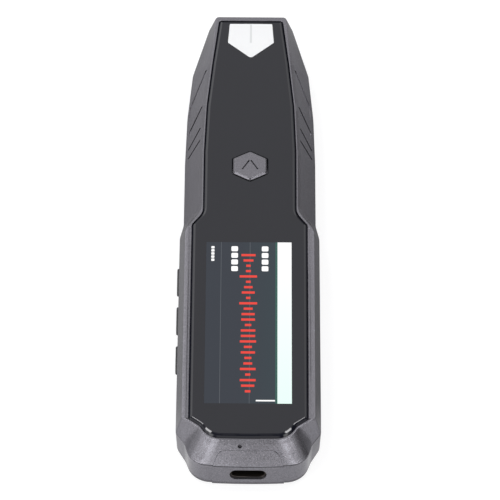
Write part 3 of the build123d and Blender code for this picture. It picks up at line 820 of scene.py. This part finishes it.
def lower_shell():
    """Lower shell with its floor, tongue, end pad and holes."""
    floor = inset(BASE_OUTLINE, WALL)
    edge, wall = inset(SEAM_OUTLINE, TONGUE_INSET), inset(SEAM_OUTLINE, WALL)
    inside = [row(edge, SEAM_Z), row(edge, SEAM_Z + TONGUE_HEIGHT), row(wall, SEAM_Z + TONGUE_HEIGHT)]
    inside += [row(between(floor, wall, 0.35), MOUTH_Z[0]), row(floor, FLOOR)]
    shell = lift_nose(loft("lower_shell", lower_rows() + inside))
    tools = [mouth_tool(), slot_tools()]
    screw_x, screw_y = screw_place()
    for x in (screw_x, -screw_x):
        shank = circle_points(x, screw_y, SCREW_RADIUS + SHANK_ROOM)
        head = circle_points(x, screw_y, HEAD_RADIUS + HEAD_ROOM)
        tools.append(prism("shank_hole", shank, 0.5, FLOOR + PAST))
        tools.append(prism("head_hole", head, -PAST, HEAD_DEPTH))
    tools += [key_hole_tool(number) for number in (1, 2, 3)]
    usb = prism_along_y("usb_hole", slot_points(*USB_HOLE), USB_HOLE_Y, USB_FLARE)
    tools.append(placed(usb, Matrix.Translation((0, 0, USB_Z))))
    combine(shell, "UNION", pad_from(lower_rows()))
    return combine(shell, "DIFFERENCE", *tools)


class PEN_OT_shells(bpy.types.Operator):
    """Build the upper and the lower shell"""
    bl_idname = "pen.shells"
    bl_label = "Shells"

    def execute(self, context):
        settings = context.scene.pen_shell
        paint = finish_material(
            "gunmetal_paint", settings.paint, settings.roughness, metallic=settings.flake, contrast=0.58,
            grain=0.3, bump=0.008, blotch=0.1, rough_swing=0.05)
        groove = (settings.groove_width / MM, settings.groove_depth / MM)
        finish_piece(upper_shell(groove), "housing", paint, ("front_bezel",))
        finish_piece(lower_shell(), "housing", paint, ("rear_shell",))
        return {"FINISHED"}


# ---------------------------------------------------------------- repeats by Geometry Nodes

def geometry_group(name, inputs, build):
    """A tree with named inputs. What build(tree, inputs) gives is realized, painted and put out."""
    def whole(tree, into, out):
        real = tree.add("GeometryNodeRealizeInstances", {"Geometry": build(tree, into)})
        painted = {"Geometry": real.outputs["Geometry"], "Material": into["Material"]}
        tree.feed(tree.add("GeometryNodeSetMaterial", painted).outputs["Geometry"], out["Geometry"])

    sockets = (("Geometry", "Geometry"), *inputs, ("Material", "Material"))
    return shared_group(name, "GeometryNodeTree", sockets, (("Geometry", "Geometry"),), whole)


ROW_INPUTS = (("Count", "Int"), ("Start", "Vector"), ("Step", "Vector"))


def in_a_row(tree, into, piece, **more):
    """Count copies of a piece from Start, each a Step further; more inputs go to the copies."""
    spots = {"Count": into["Count"], "Start Location": into["Start"], "Offset": into["Step"]}
    line = tree.add("GeometryNodeMeshLine", spots)
    copies = {"Points": line.outputs["Mesh"], "Instance": piece, **more}
    return tree.add("GeometryNodeInstanceOnPoints", copies).outputs["Instances"]


def repeat_tree():
    """A straight row of one piece."""
    def build(tree, into):
        piece = tree.add("GeometryNodeObjectInfo", {"Object": into["Piece"]})
        return in_a_row(tree, into, piece.outputs["Geometry"])

    return geometry_group("pen_row", (("Piece", "Object"), *ROW_INPUTS), build)


def grown(name, group, values, wires=((), ())):
    """A plain mesh from a Geometry Nodes tree with its named inputs set, on given points and edges."""
    holder = bpy.data.objects.new(name, bpy.data.meshes.new(name))
    holder.data.from_pydata(*wires, [])
    bpy.context.scene.collection.objects.link(holder)
    modifier = holder.modifiers.new(name, "NODES")
    modifier.node_group = group
    for item in group.interface.items_tree:
        if item.in_out == "INPUT" and item.name in values:
            modifier[item.identifier] = values[item.name]
    return settle(holder)


def groove_tree():
    """A square bar that follows every path of the mesh, upright, Width wide and Depth to each side."""
    def build(tree, into):
        curve = tree.add("GeometryNodeMeshToCurve", {"Mesh": into["Geometry"]}).outputs["Curve"]
        upright = tree.add("GeometryNodeSetCurveNormal", {"Curve": curve}, mode="Z_UP").outputs["Curve"]
        sides = {"Width": into["Width"], "Height": tree.math("MULTIPLY", into["Depth"], 2.0)}
        section = tree.add("GeometryNodeCurvePrimitiveQuadrilateral", sides).outputs["Curve"]
        bar = {"Curve": upright, "Profile Curve": section, "Fill Caps": True}
        return tree.add("GeometryNodeCurveToMesh", bar).outputs["Mesh"]

    return geometry_group("pen_groove", (("Width", "Float"), ("Depth", "Float")), build)


def cut_along(name, paths, width, depth):
    """A cutter that follows each path of points, for an engraved line."""
    points = [point for path in paths for point in path]
    edges, start = [], 0
    for path in paths:
        edges += [(start + k, start + k + 1) for k in range(len(path) - 1)]
        start += len(path)
    return grown(name, groove_tree(), {"Width": width, "Depth": depth}, (points, edges))


def repeat(piece, name, count, start, step, material=None):
    """A row of copies of one modelled piece, as one mesh; the piece itself is removed."""
    values = {"Piece": piece, "Count": count, "Start": start, "Step": step, "Material": material}
    made = grown(name, repeat_tree(), values)
    bpy.data.objects.remove(piece)
    return made


def level_tree():
    """A row of level bars of uneven length, which grow both ways from the row's line."""
    def build(tree, into):
        length = tree.add("FunctionNodeRandomValue", {"Seed": into["Seed"]}, data_type="FLOAT")
        shortest, longest = [s for s in length.inputs if s.type == "VALUE" and s.enabled][:2]
        tree.feed(into["Shortest"], shortest)
        tree.feed(into["Longest"], longest)
        drawn = next(s for s in length.outputs if s.type == "VALUE" and s.enabled)
        size = tree.add("ShaderNodeCombineXYZ", {"X": drawn, "Y": into["Thickness"], "Z": 1.0})
        plate = tree.add("GeometryNodeMeshCube", {"Size": (1.0, 1.0, 2 * PRINT)})
        return in_a_row(tree, into, plate.outputs["Mesh"], Scale=size.outputs["Vector"])

    sizes = (("Thickness", "Float"), ("Shortest", "Float"), ("Longest", "Float"), ("Seed", "Int"))
    return geometry_group("pen_levels", (*ROW_INPUTS, *sizes), build)


# ---------------------------------------------------------------- front panel and display

def panel():
    """Black panel with a bevelled edge and holes for the button, the window and the display."""
    rows = [row(inset(PANEL_OUTLINE, FIT), PANEL_Z), row(PANEL_OUTLINE, PANEL_Z + FIT)]
    rows += [row(PANEL_OUTLINE, PANEL_TOP_Z - PANEL_EDGE[0][1] - 0.03)]
    for distance, drop in PANEL_EDGE:
        corners = inset(PANEL_OUTLINE, distance)
        share = max(distance - PANEL_EDGE_START, 0) / (PANEL_EDGE[-1][0] - PANEL_EDGE_START)
        corners[-2:] = [(x, y + PANEL_END_REACH * share, radius) for x, y, radius in corners[-2:]]
        rows.append(row(corners, PANEL_TOP_Z - drop))
    low, high = PANEL_Z - PAST, PANEL_TOP_Z + PAST
    return combine(
        loft("panel", rows), "DIFFERENCE",
        prism("hex_hole", hexagon_points(HEX_GAP), low, PANEL_TOP_Z + 0.1, HEX_FLARE),
        prism("window_hole", window_points(FIT), low, high),
        prism("screen_hole", rectangle_points(*SCREEN), low, high))


def screen_material(settings):
    """Lit picture under a glossy face: a plain field, a pale bar on the right and fine lines."""
    inputs = {"Base Color": settings.black, "Roughness": 0.05, "Emission Strength": 1.0}
    material, tree, skin = new_material("look_screen_picture", inputs)
    coords = tree.add("ShaderNodeTexCoord").outputs["Object"]
    place = tree.add("ShaderNodeSeparateXYZ", {"Vector": coords}).outputs

    def span(low, high):
        """1 between two places across the display, and 0 elsewhere."""
        past_low = tree.math("GREATER_THAN", place["X"], low * MM)
        return tree.math("MULTIPLY", past_low, tree.math("LESS_THAN", place["X"], high * MM))

    def share(axis, low, high):
        """0 up to one place along an axis, 1 from the other on."""
        reach = high - low
        return tree.math("MULTIPLY_ADD", place[axis], 1 / (reach * MM), -low / reach, clamp=True)

    _, right, end_y, start_y = SCREEN
    teal = [level * factor for level, factor in zip(settings.screen, SCREEN_TINT)]
    field = tree.mix(share("X", SCREEN_TINT_X, SCREEN_BAR_X), settings.screen, teal)
    edge = span(SCREEN_BAR_X - SCREEN_BAR_EDGE, SCREEN_BAR_X)
    edged = tree.mix(edge, field, SCREEN_EDGE_GREEN)
    bar = tree.mix(share("Y", end_y, start_y), *SCREEN_BAR_WHITES)
    color = tree.mix(span(SCREEN_BAR_X, right + PAST), edged, bar)
    for line_x in SCREEN_LINES_X:
        color = tree.mix(span(line_x - 0.06, line_x + 0.06), color, SCREEN_LINE_GREY)
    tree.feed(color, skin.inputs["Emission Color"])
    return material


def screen_marks(settings):
    """Generic marks on the display: level bars, three rows of label blocks and a cursor line."""
    signal = lit_material("signal_red", settings.signal)
    white = lit_material("label_white", (1.0, 1.0, 1.0))
    first_y, last_y = LEVELS_Y
    pitch = (last_y - first_y) / (settings.bar_count - 1)
    levels = grown("level_bars", level_tree(), {
        "Count": settings.bar_count, "Start": (LEVELS_X, first_y, PANEL_TOP_Z), "Step": (0.0, pitch, 0.0),
        "Thickness": LEVEL_THICKNESS, "Shortest": LEVEL_LENGTHS[0], "Longest": LEVEL_LENGTHS[1],
        "Seed": settings.seed, "Material": signal})
    finish_piece(levels, "housing", signal)
    _, _, end_y, start_y = SCREEN
    blocks = []
    for x, size, count in LABELS:
        half = size / 2
        points = rectangle_points(x - half, x + half, -half, half, size * 0.2, 3)
        start = (0, start_y - LABEL_MARGIN - half, 0)
        mark = plate("mark", points, PANEL_TOP_Z)
        blocks.append(repeat(mark, "marks", count, start, (0, -size * LABEL_PITCH, 0), white))
    x0, x1, near, far = CURSOR
    blocks.append(plate("cursor", rectangle_points(x0, x1, end_y + near, end_y + far), PANEL_TOP_Z))
    labels = join(*blocks)
    labels.name = "label_blocks"
    finish_piece(labels, "housing", white)


class PEN_OT_panel(bpy.types.Operator):
    """Build the front panel, the aiming window and the display's picture"""
    bl_idname = "pen.panel"
    bl_label = "Panel and display"

    def execute(self, context):
        settings = context.scene.pen_panel
        black = finish_material("panel_black", settings.black, 0.06, contrast=0.25, bump=0.0, blotch=0.6)
        finish_piece(panel(), "housing", black, ("front_panel",), angle=50)
        x0, x1, y0, y1 = SCREEN
        points = rectangle_points(x0 + PRINT, x1 - PRINT, y0 + PRINT, y1 - PRINT)
        picture = prism("screen_picture", points, PANEL_Z + 2 * PRINT, PANEL_TOP_Z)
        finish_piece(picture, "housing", screen_material(settings))
        screen_marks(settings)
        pane = finish_material(
            "window_white", settings.window_white, 0.12, contrast=0.02, bump=0.0, blotch=0.8)
        lens = prism("aiming_window", window_points(), PANEL_Z, PANEL_TOP_Z - 2 * PRINT)
        finish_piece(lens, "housing", pane, ("window_lens",), angle=40)
        y0, y1, width = WINDOW_MARK
        grey = finish_material("mark_grey", (0.68, 0.69, 0.70), 0.3, contrast=0.05, bump=0.0)
        points = rectangle_points(-width / 2, width / 2, y0, y1 - 0.1, 0.1, 2)
        finish_piece(plate("aiming_mark", points, PANEL_TOP_Z - 2 * PRINT), "housing", grey)
        return {"FINISHED"}


# ---------------------------------------------------------------- keys

def hex_cap():
    """Hexagonal cap with a soft bevel, its flange and its stem."""
    low, _ = node_box("hex_button")
    flange_z = TRAY_Z - FIT
    reach, thickness = HEX_FLANGE
    rows = [ring(hexagon_points(-0.02), flange_z - thickness / 2)]
    rows += [ring(hexagon_points(growth), HEX_TOP_Z - drop) for growth, drop in HEX_PROFILE]
    cap = loft("hex_cap", rows)
    flange = prism("flange", hexagon_points(reach, 0.3), flange_z - thickness, flange_z)
    stem = prism("stem", circle_points(0, HEX_Y, HEX_STEM_RADIUS), low.z, flange_z - 0.5)
    return cap, flange, stem


def arrow_tool(stroke):
    """Cutter for the arrowhead: two strokes that nearly meet."""
    paths = [[Vector((x, y, HEX_TOP_Z)) for x, y in pair] for pair in ARROW]
    return cut_along("arrow", paths, stroke, ARROW_DEPTH)


def side_cap(number):
    """Side key: a rounded cap that stands out of the wall, and its root inside."""
    low, _ = node_box(f"side_button_{number}")
    length, height = SIDE_BUTTON_SIZE
    middle = side_button_middle(number)
    rows = []
    for grow, depth in SIDE_CAP_PROFILE:
        outline = slot_points(length + 2 * grow, height + 2 * grow)
        rows.append([Vector((low.x + depth, p[0] + middle, p[1] + SIDE_BUTTON_Z)) for p in outline])
    rows.insert(0, [Vector((SIDE_BUTTON_ROOT_X, v.y, v.z)) for v in rows[0]])
    return loft(f"side_cap_{number}", rows)


class PEN_OT_keys(bpy.types.Operator):
    """Build the hexagonal button and the side keys"""
    bl_idname = "pen.keys"
    bl_label = "Keys"

    def execute(self, context):
        settings = context.scene.pen_keys
        shell = context.scene.pen_shell
        paint = finish_material(
            "key_paint", [c * 0.96 for c in shell.paint], shell.roughness, metallic=shell.flake,
            contrast=0.62, grain=0.3, bump=0.012, blotch=0.05, rough_swing=0.06)
        cap, flange, stem = hex_cap()
        combine(cap, "DIFFERENCE", arrow_tool(settings.stroke / MM))
        finish_piece(join(cap, flange, stem), "hex_button", paint, ("hex_button",))
        grey = finish_material(
            "side_key_grey", settings.side_key, 0.5, contrast=0.15, grain=0.2, bump=0.015)
        for number in (1, 2, 3):
            body = f"side_button_{number}"
            finish_piece(side_cap(number), body, grey, (body,))
        return {"FINISHED"}


# ---------------------------------------------------------------- inlet and back

class PEN_OT_inlet(bpy.types.Operator):
    """Build the charging inlet"""
    bl_idname = "pen.inlet"
    bl_label = "Inlet"

    def execute(self, context):
        # The inlet's steel is painted dark: a painted shade of the slot it sits in.
        steel = finish_material(
            "inlet_steel", (0.11, 0.095, 0.085), 0.35, metallic=1.0, contrast=0.1, bump=0.004)
        smooth_copy("usb_shell", "housing", steel)
        black = finish_material("tongue_black", (0.045, 0.042, 0.040), 0.45, bump=0.01)
        smooth_copy("usb_tongue", "housing", black)
        low, high = node_box("usb_tongue")
        gold = finish_material(
            "contact_gold", (0.85, 0.62, 0.28), 0.25, metallic=1.0, contrast=0.05, bump=0.0)
        half, (near, far) = CONTACT_WIDTH / 2, CONTACT_REACH
        points = rectangle_points(-half, half, low.y + near, low.y + far)
        contacts = []
        for z in (low.z - PRINT, high.z + PRINT):
            strip = plate("strip", points, z, 2 * PRINT)
            start, step = (CONTACT_X, 0, 0), (CONTACT_PITCH, 0, 0)
            contacts.append(repeat(strip, "strips", CONTACT_COUNT, start, step, gold))
        contact_rows = join(*contacts)
        contact_rows.name = "inlet_contacts"
        finish_piece(contact_rows, "housing", gold)
        return {"FINISHED"}


def screw():
    """Pan-head screw with a cross recess, its head down, centred on the origin in x and y."""
    low, high = node_box("case_screws")
    profile = [(HEAD_RADIUS - inwards, z) for inwards, z in SCREW_HEAD]
    profile += [(SCREW_RADIUS, SCREW_HEAD[-1][1]), (SCREW_RADIUS, high.z - low.z)]
    body = loft("screw", [ring(circle_points(0, 0, radius, 36), low.z + z) for radius, z in profile])
    cross = []
    for half_x, half_y in (SCREW_CROSS, reversed(SCREW_CROSS)):
        points = rectangle_points(-half_x, half_x, -half_y, half_y)
        cross.append(prism("recess", points, low.z - 0.2, low.z + SCREW_CROSS_DEPTH))
    return combine(body, "DIFFERENCE", *cross)


class PEN_OT_back(bpy.types.Operator):
    """Build the screws of the back"""
    bl_idname = "pen.back"
    bl_label = "Back"

    def execute(self, context):
        x, y = screw_place()
        steel = finish_material(
            "screw_steel", (0.12, 0.12, 0.125), 0.35, metallic=1.0, contrast=0.15, bump=0.01)
        screws = repeat(screw(), "screws", 2, (-x, y, 0), (2 * x, 0, 0), steel)
        finish_piece(screws, "housing", steel, ("case_screws",))
        return {"FINISHED"}


# ---------------------------------------------------------------- inside

# Colour, roughness and metallic share of each kind of inner piece
TIN = ((0.6, 0.6, 0.58), 0.3, 1.0)
FILM = ((0.45, 0.18, 0.03), 0.4, 0.0)
MOULDED = ((0.02, 0.02, 0.02), 0.5, 0.0)
INSIDE = {
    **dict.fromkeys(("radio_shield", "front_switch", "side_switch"), TIN),
    **dict.fromkeys(("display_flex", "camera_flex"), FILM),
    **dict.fromkeys(("processor_chip", "memory_chip", "front_plunger", "side_plunger"), MOULDED),
    "panel_tape": ((0.01, 0.01, 0.01), 0.8, 0.0),
    "display_frame": ((0.55, 0.55, 0.55), 0.35, 1.0),
    "display_glass": ((0.02, 0.03, 0.04), 0.08, 0.0),
    "main_board": ((0.01, 0.09, 0.035), 0.35, 0.0),
    "light_board": ((0.8, 0.8, 0.78), 0.45, 0.0),
    "battery": ((0.4, 0.42, 0.45), 0.35, 0.6),
    "battery_pad": ((0.05, 0.05, 0.05), 0.9, 0.0),
    "speaker": ((0.02, 0.02, 0.02), 0.6, 0.0),
    "speaker_mesh": ((0.015, 0.015, 0.016), 0.85, 0.0),
    "microphone": ((0.6, 0.55, 0.45), 0.3, 1.0),
    "mic_boot": ((0.02, 0.02, 0.02), 0.8, 0.0),
    "scan_hood": ((0.85, 0.86, 0.87), 0.5, 0.0),
    "camera_housing": ((0.015, 0.015, 0.015), 0.5, 0.0),
    "camera_lens": ((0.03, 0.02, 0.06), 0.05, 0.0),
    "light_leds": ((0.9, 0.85, 0.55), 0.3, 0.0),
}
THREAD = 0.18  # of the speaker's cloth


class PEN_OT_inside(bpy.types.Operator):
    """Give every inner CAD node its own finish"""
    bl_idname = "pen.inside"
    bl_label = "Inside"

    def execute(self, context):
        for name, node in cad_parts.items():
            kind = name.rstrip("_123") if name.startswith("side_") else name
            if node.hide_render or kind not in INSIDE:
                continue
            color, roughness, metallic = INSIDE[kind]
            look = "inner_" + kind
            if kind == "speaker_mesh":
                material = cloth_material(look, color, THREAD)
            else:
                material = finish_material(
                    look, color, roughness, metallic=metallic, contrast=0.15, bump=0.01)
            node.data.materials.clear()
            node.data.materials.append(material)
        return {"FINISHED"}


# ---------------------------------------------------------------- stage

def area_light(name, spot, lengthwise, size, power):
    """Rectangular lamp that faces the origin, with its long side along a direction."""
    light = bpy.data.lights.new(name, "AREA")
    light.shape = "RECTANGLE"
    light.size, light.size_y = size
    light.energy = power
    made = bpy.data.objects.new(name, light)
    bpy.context.scene.collection.objects.link(made)
    back = Vector(spot).normalized()
    up = (Vector(lengthwise) - back * back.dot(Vector(lengthwise))).normalized()
    made.matrix_world = Matrix.Translation(spot) @ Matrix((up.cross(back), up, back)).transposed().to_4x4()


# Soft boxes of the studio: azimuth from the front (right is positive) and elevation in degrees, the
# cosines at which a box ends and is full, and its level. The first is the white backdrop.
SOFT_BOXES = (
    (180, 49, 0.84, 0.95, 0.60), (-90, 15, 0.86, 0.97, 0.78), (-95, 48, 0.88, 0.97, 0.46),
    (-60, 20, 0.90, 0.97, 0.90), (60, 22, 0.90, 0.97, 0.60), (-54, 17, 0.988, 0.998, 4.80),
    (54, 17, 0.988, 0.998, 4.80), (-36, 20, 0.986, 0.998, 4.60), (36, 20, 0.986, 0.998, 5.00),
    (-21, 22, 0.955, 0.99, 2.50), (22, 22, 0.962, 0.992, 2.20),
    (0, 6, 0.93, 0.985, 1.30), (0, 48, 0.93, 0.985, 0.74), (-50, 58, 0.90, 0.98, 0.28),
    (-148, 38, 0.93, 0.985, 1.80), (148, 38, 0.93, 0.985, 1.15), (-145, 8, 0.86, 0.97, 0.40),
    (-57, 44, 0.978, 0.995, 2.20), (57, 44, 0.978, 0.995, 2.20),
)
CEILING = 0.10

# Camera, strip lights overhead and floor
SENSOR = 36.0
TARGET = (0.12, -8.9, 12.6)
STRIP_PLACE = (0.333, 0.214, 0.917)  # in metres, of the right-hand one
STRIP_RUN = (0.117, 0.182, -0.114)
STRIP_SIZE = (0.15, 0.20)
FLOOR_SIZE = 3.0
FLOOR_DROP = 0.05


def straight(tree, rays):
    """1 for rays that come from the camera or through glass."""
    return tree.math("MAXIMUM", rays["Is Camera Ray"], rays["Is Transmission Ray"])


def studio_world():
    """White for the camera and through glass; a dim room with soft boxes for every other ray."""
    world = bpy.data.worlds.new("studio")
    bpy.context.scene.world = world
    world.use_nodes = True
    tree = Tree(world.node_tree)
    rays = tree.add("ShaderNodeLightPath").outputs
    heading = tree.add("ShaderNodeTexCoord").outputs["Generated"]
    level, boxes = CEILING, []
    for azimuth, elevation, wide, narrow, strength in SOFT_BOXES:
        turn, lift = math.radians(azimuth), math.radians(elevation)
        toward = (math.cos(lift) * math.sin(turn), -math.cos(lift) * math.cos(turn), math.sin(lift))
        cosine = tree.add("ShaderNodeVectorMath", {0: heading, 1: toward}, operation="DOT_PRODUCT")
        boxes.append(tree.fade(cosine.outputs["Value"], wide, narrow))
        level = tree.math("MULTIPLY_ADD", boxes[-1], strength, level)
    height = tree.add("ShaderNodeSeparateXYZ", {"Vector": heading}).outputs["Z"]
    below = tree.math("MULTIPLY", tree.math("LESS_THAN", height, -0.05), 0.5)
    mirrored_part = tree.math("MULTIPLY", rays["Is Glossy Ray"], tree.math("MAXIMUM", boxes[0], below))
    white = tree.math("MAXIMUM", straight(tree, rays), mirrored_part)
    shine = tree.add("ShaderNodeBackground", {"Color": tree.mix(white, level, (1.0, 1.0, 1.0))})
    tree.add("ShaderNodeOutputWorld", {"Surface": shine.outputs["Background"]})


def floor_material():
    """Pale floor, white to the camera, with a painted glow at three sides of the pen that only reflections
    see. It is clear from below and to the face that lies on it, so that the back can be looked at."""
    material = bpy.data.materials.new("pale_floor")
    material.use_nodes = True
    tree = Tree(material.node_tree)
    rays = tree.add("ShaderNodeLightPath").outputs
    coords = tree.add("ShaderNodeTexCoord").outputs["Object"]
    place = tree.add("ShaderNodeSeparateXYZ", {"Vector": coords}).outputs
    # Painted glow seen in reflections only: strong in front of the pen, weaker at its left and beyond its
    # tip.
    front = tree.fade(place["Y"], -0.045, -0.075, 0.76)
    left = tree.fade(place["X"], -0.008, -0.030, 0.20)
    beyond = tree.fade(place["Y"], 0.07, 0.10, 0.26)
    painted_glow = tree.math("ADD", tree.math("ADD", front, left), beyond)
    mirrored_part = tree.math("MULTIPLY", rays["Is Glossy Ray"], painted_glow)
    strength = tree.math("MULTIPLY_ADD", straight(tree, rays), 0.80, mirrored_part)
    glow = tree.add("ShaderNodeEmission", {"Strength": strength})
    skin = tree.add("ShaderNodeBsdfDiffuse", {"Color": (0.30, 0.30, 0.305)})
    total = tree.add("ShaderNodeAddShader", {0: skin.outputs["BSDF"], 1: glow.outputs["Emission"]})
    below = tree.add("ShaderNodeNewGeometry").outputs["Backfacing"]
    close = tree.math("LESS_THAN", rays["Ray Length"], 0.002)
    clear = tree.add("ShaderNodeBsdfTransparent").outputs["BSDF"]
    shaders = {0: tree.math("MAXIMUM", below, close), 1: total.outputs["Shader"], 2: clear}
    mixed = tree.add("ShaderNodeMixShader", shaders)
    tree.add("ShaderNodeOutputMaterial", {"Surface": mixed.outputs["Shader"]})
    return material


class PEN_OT_stage(bpy.types.Operator):
    """Set the camera, the lights and the floor"""
    bl_idname = "pen.stage"
    bl_label = "Stage"

    def execute(self, context):
        settings = context.scene.pen_stage
        scene = context.scene
        scene.view_settings.view_transform = "Standard"
        camera = bpy.data.objects.new("camera", bpy.data.cameras.new("camera"))
        scene.collection.objects.link(camera)
        scene.camera = camera
        camera.data.lens = settings.lens
        camera.data.sensor_width = SENSOR
        back = Vector((0, -math.cos(settings.elevation), math.sin(settings.elevation)))
        camera.location = Vector(TARGET) * MM + back * settings.distance
        tilt = Matrix.Rotation(math.radians(90) - settings.elevation, 4, "X")
        camera.rotation_euler = (tilt @ Matrix.Rotation(settings.roll, 4, "Z")).to_euler()
        camera.data.clip_start, camera.data.clip_end = 0.05, 20.0
        studio_world()
        for name, side in (("left_strip", -1), ("right_strip", 1)):
            spot, run = [(x * side, y, z) for x, y, z in (STRIP_PLACE, STRIP_RUN)]
            area_light(name, spot, run, STRIP_SIZE, settings.strip_power)
        bm = bmesh.new()
        bmesh.ops.create_grid(bm, x_segments=1, y_segments=1, size=FLOOR_SIZE)
        bmesh.ops.translate(bm, verts=bm.verts[:], vec=(0, 0, -FLOOR_DROP * MM))
        floor = new_object("floor", bm)
        floor.data.materials.append(floor_material())
        return {"FINISHED"}


# ---------------------------------------------------------------- add-on

OPERATORS = (
    PEN_OT_stage, PEN_OT_shells, PEN_OT_panel, PEN_OT_keys, PEN_OT_inlet, PEN_OT_back, PEN_OT_inside)
SETTINGS = {
    "pen_shell": PenShellSettings, "pen_panel": PenPanelSettings,
    "pen_keys": PenKeySettings, "pen_stage": PenStageSettings,
}


class PEN_PT_sidebar(bpy.types.Panel):
    """Lists the builders and their settings"""
    bl_label = "Translator"
    bl_space_type = "VIEW_3D"
    bl_region_type = "UI"
    bl_category = "Translator"

    def draw(self, context):
        for operator in OPERATORS:
            self.layout.operator(operator.bl_idname)
        for name, group in SETTINGS.items():
            box = self.layout.box()
            for value in group.__annotations__:
                box.prop(getattr(context.scene, name), value)


def register():
    for group in (*SETTINGS.values(), *OPERATORS, PEN_PT_sidebar):
        bpy.utils.register_class(group)
    for name, group in SETTINGS.items():
        setattr(bpy.types.Scene, name, bpy.props.PointerProperty(type=group))


def unregister():
    for name in SETTINGS:
        delattr(bpy.types.Scene, name)
    for group in reversed((*SETTINGS.values(), *OPERATORS, PEN_PT_sidebar)):
        bpy.utils.unregister_class(group)


def main():
    register()
    bpy.ops.pen.stage()
    bpy.ops.pen.shells()
    bpy.ops.pen.panel()
    bpy.ops.pen.keys()
    bpy.ops.pen.inlet()
    bpy.ops.pen.back()
    bpy.ops.pen.inside()


if __name__ == "__main__":
    main()
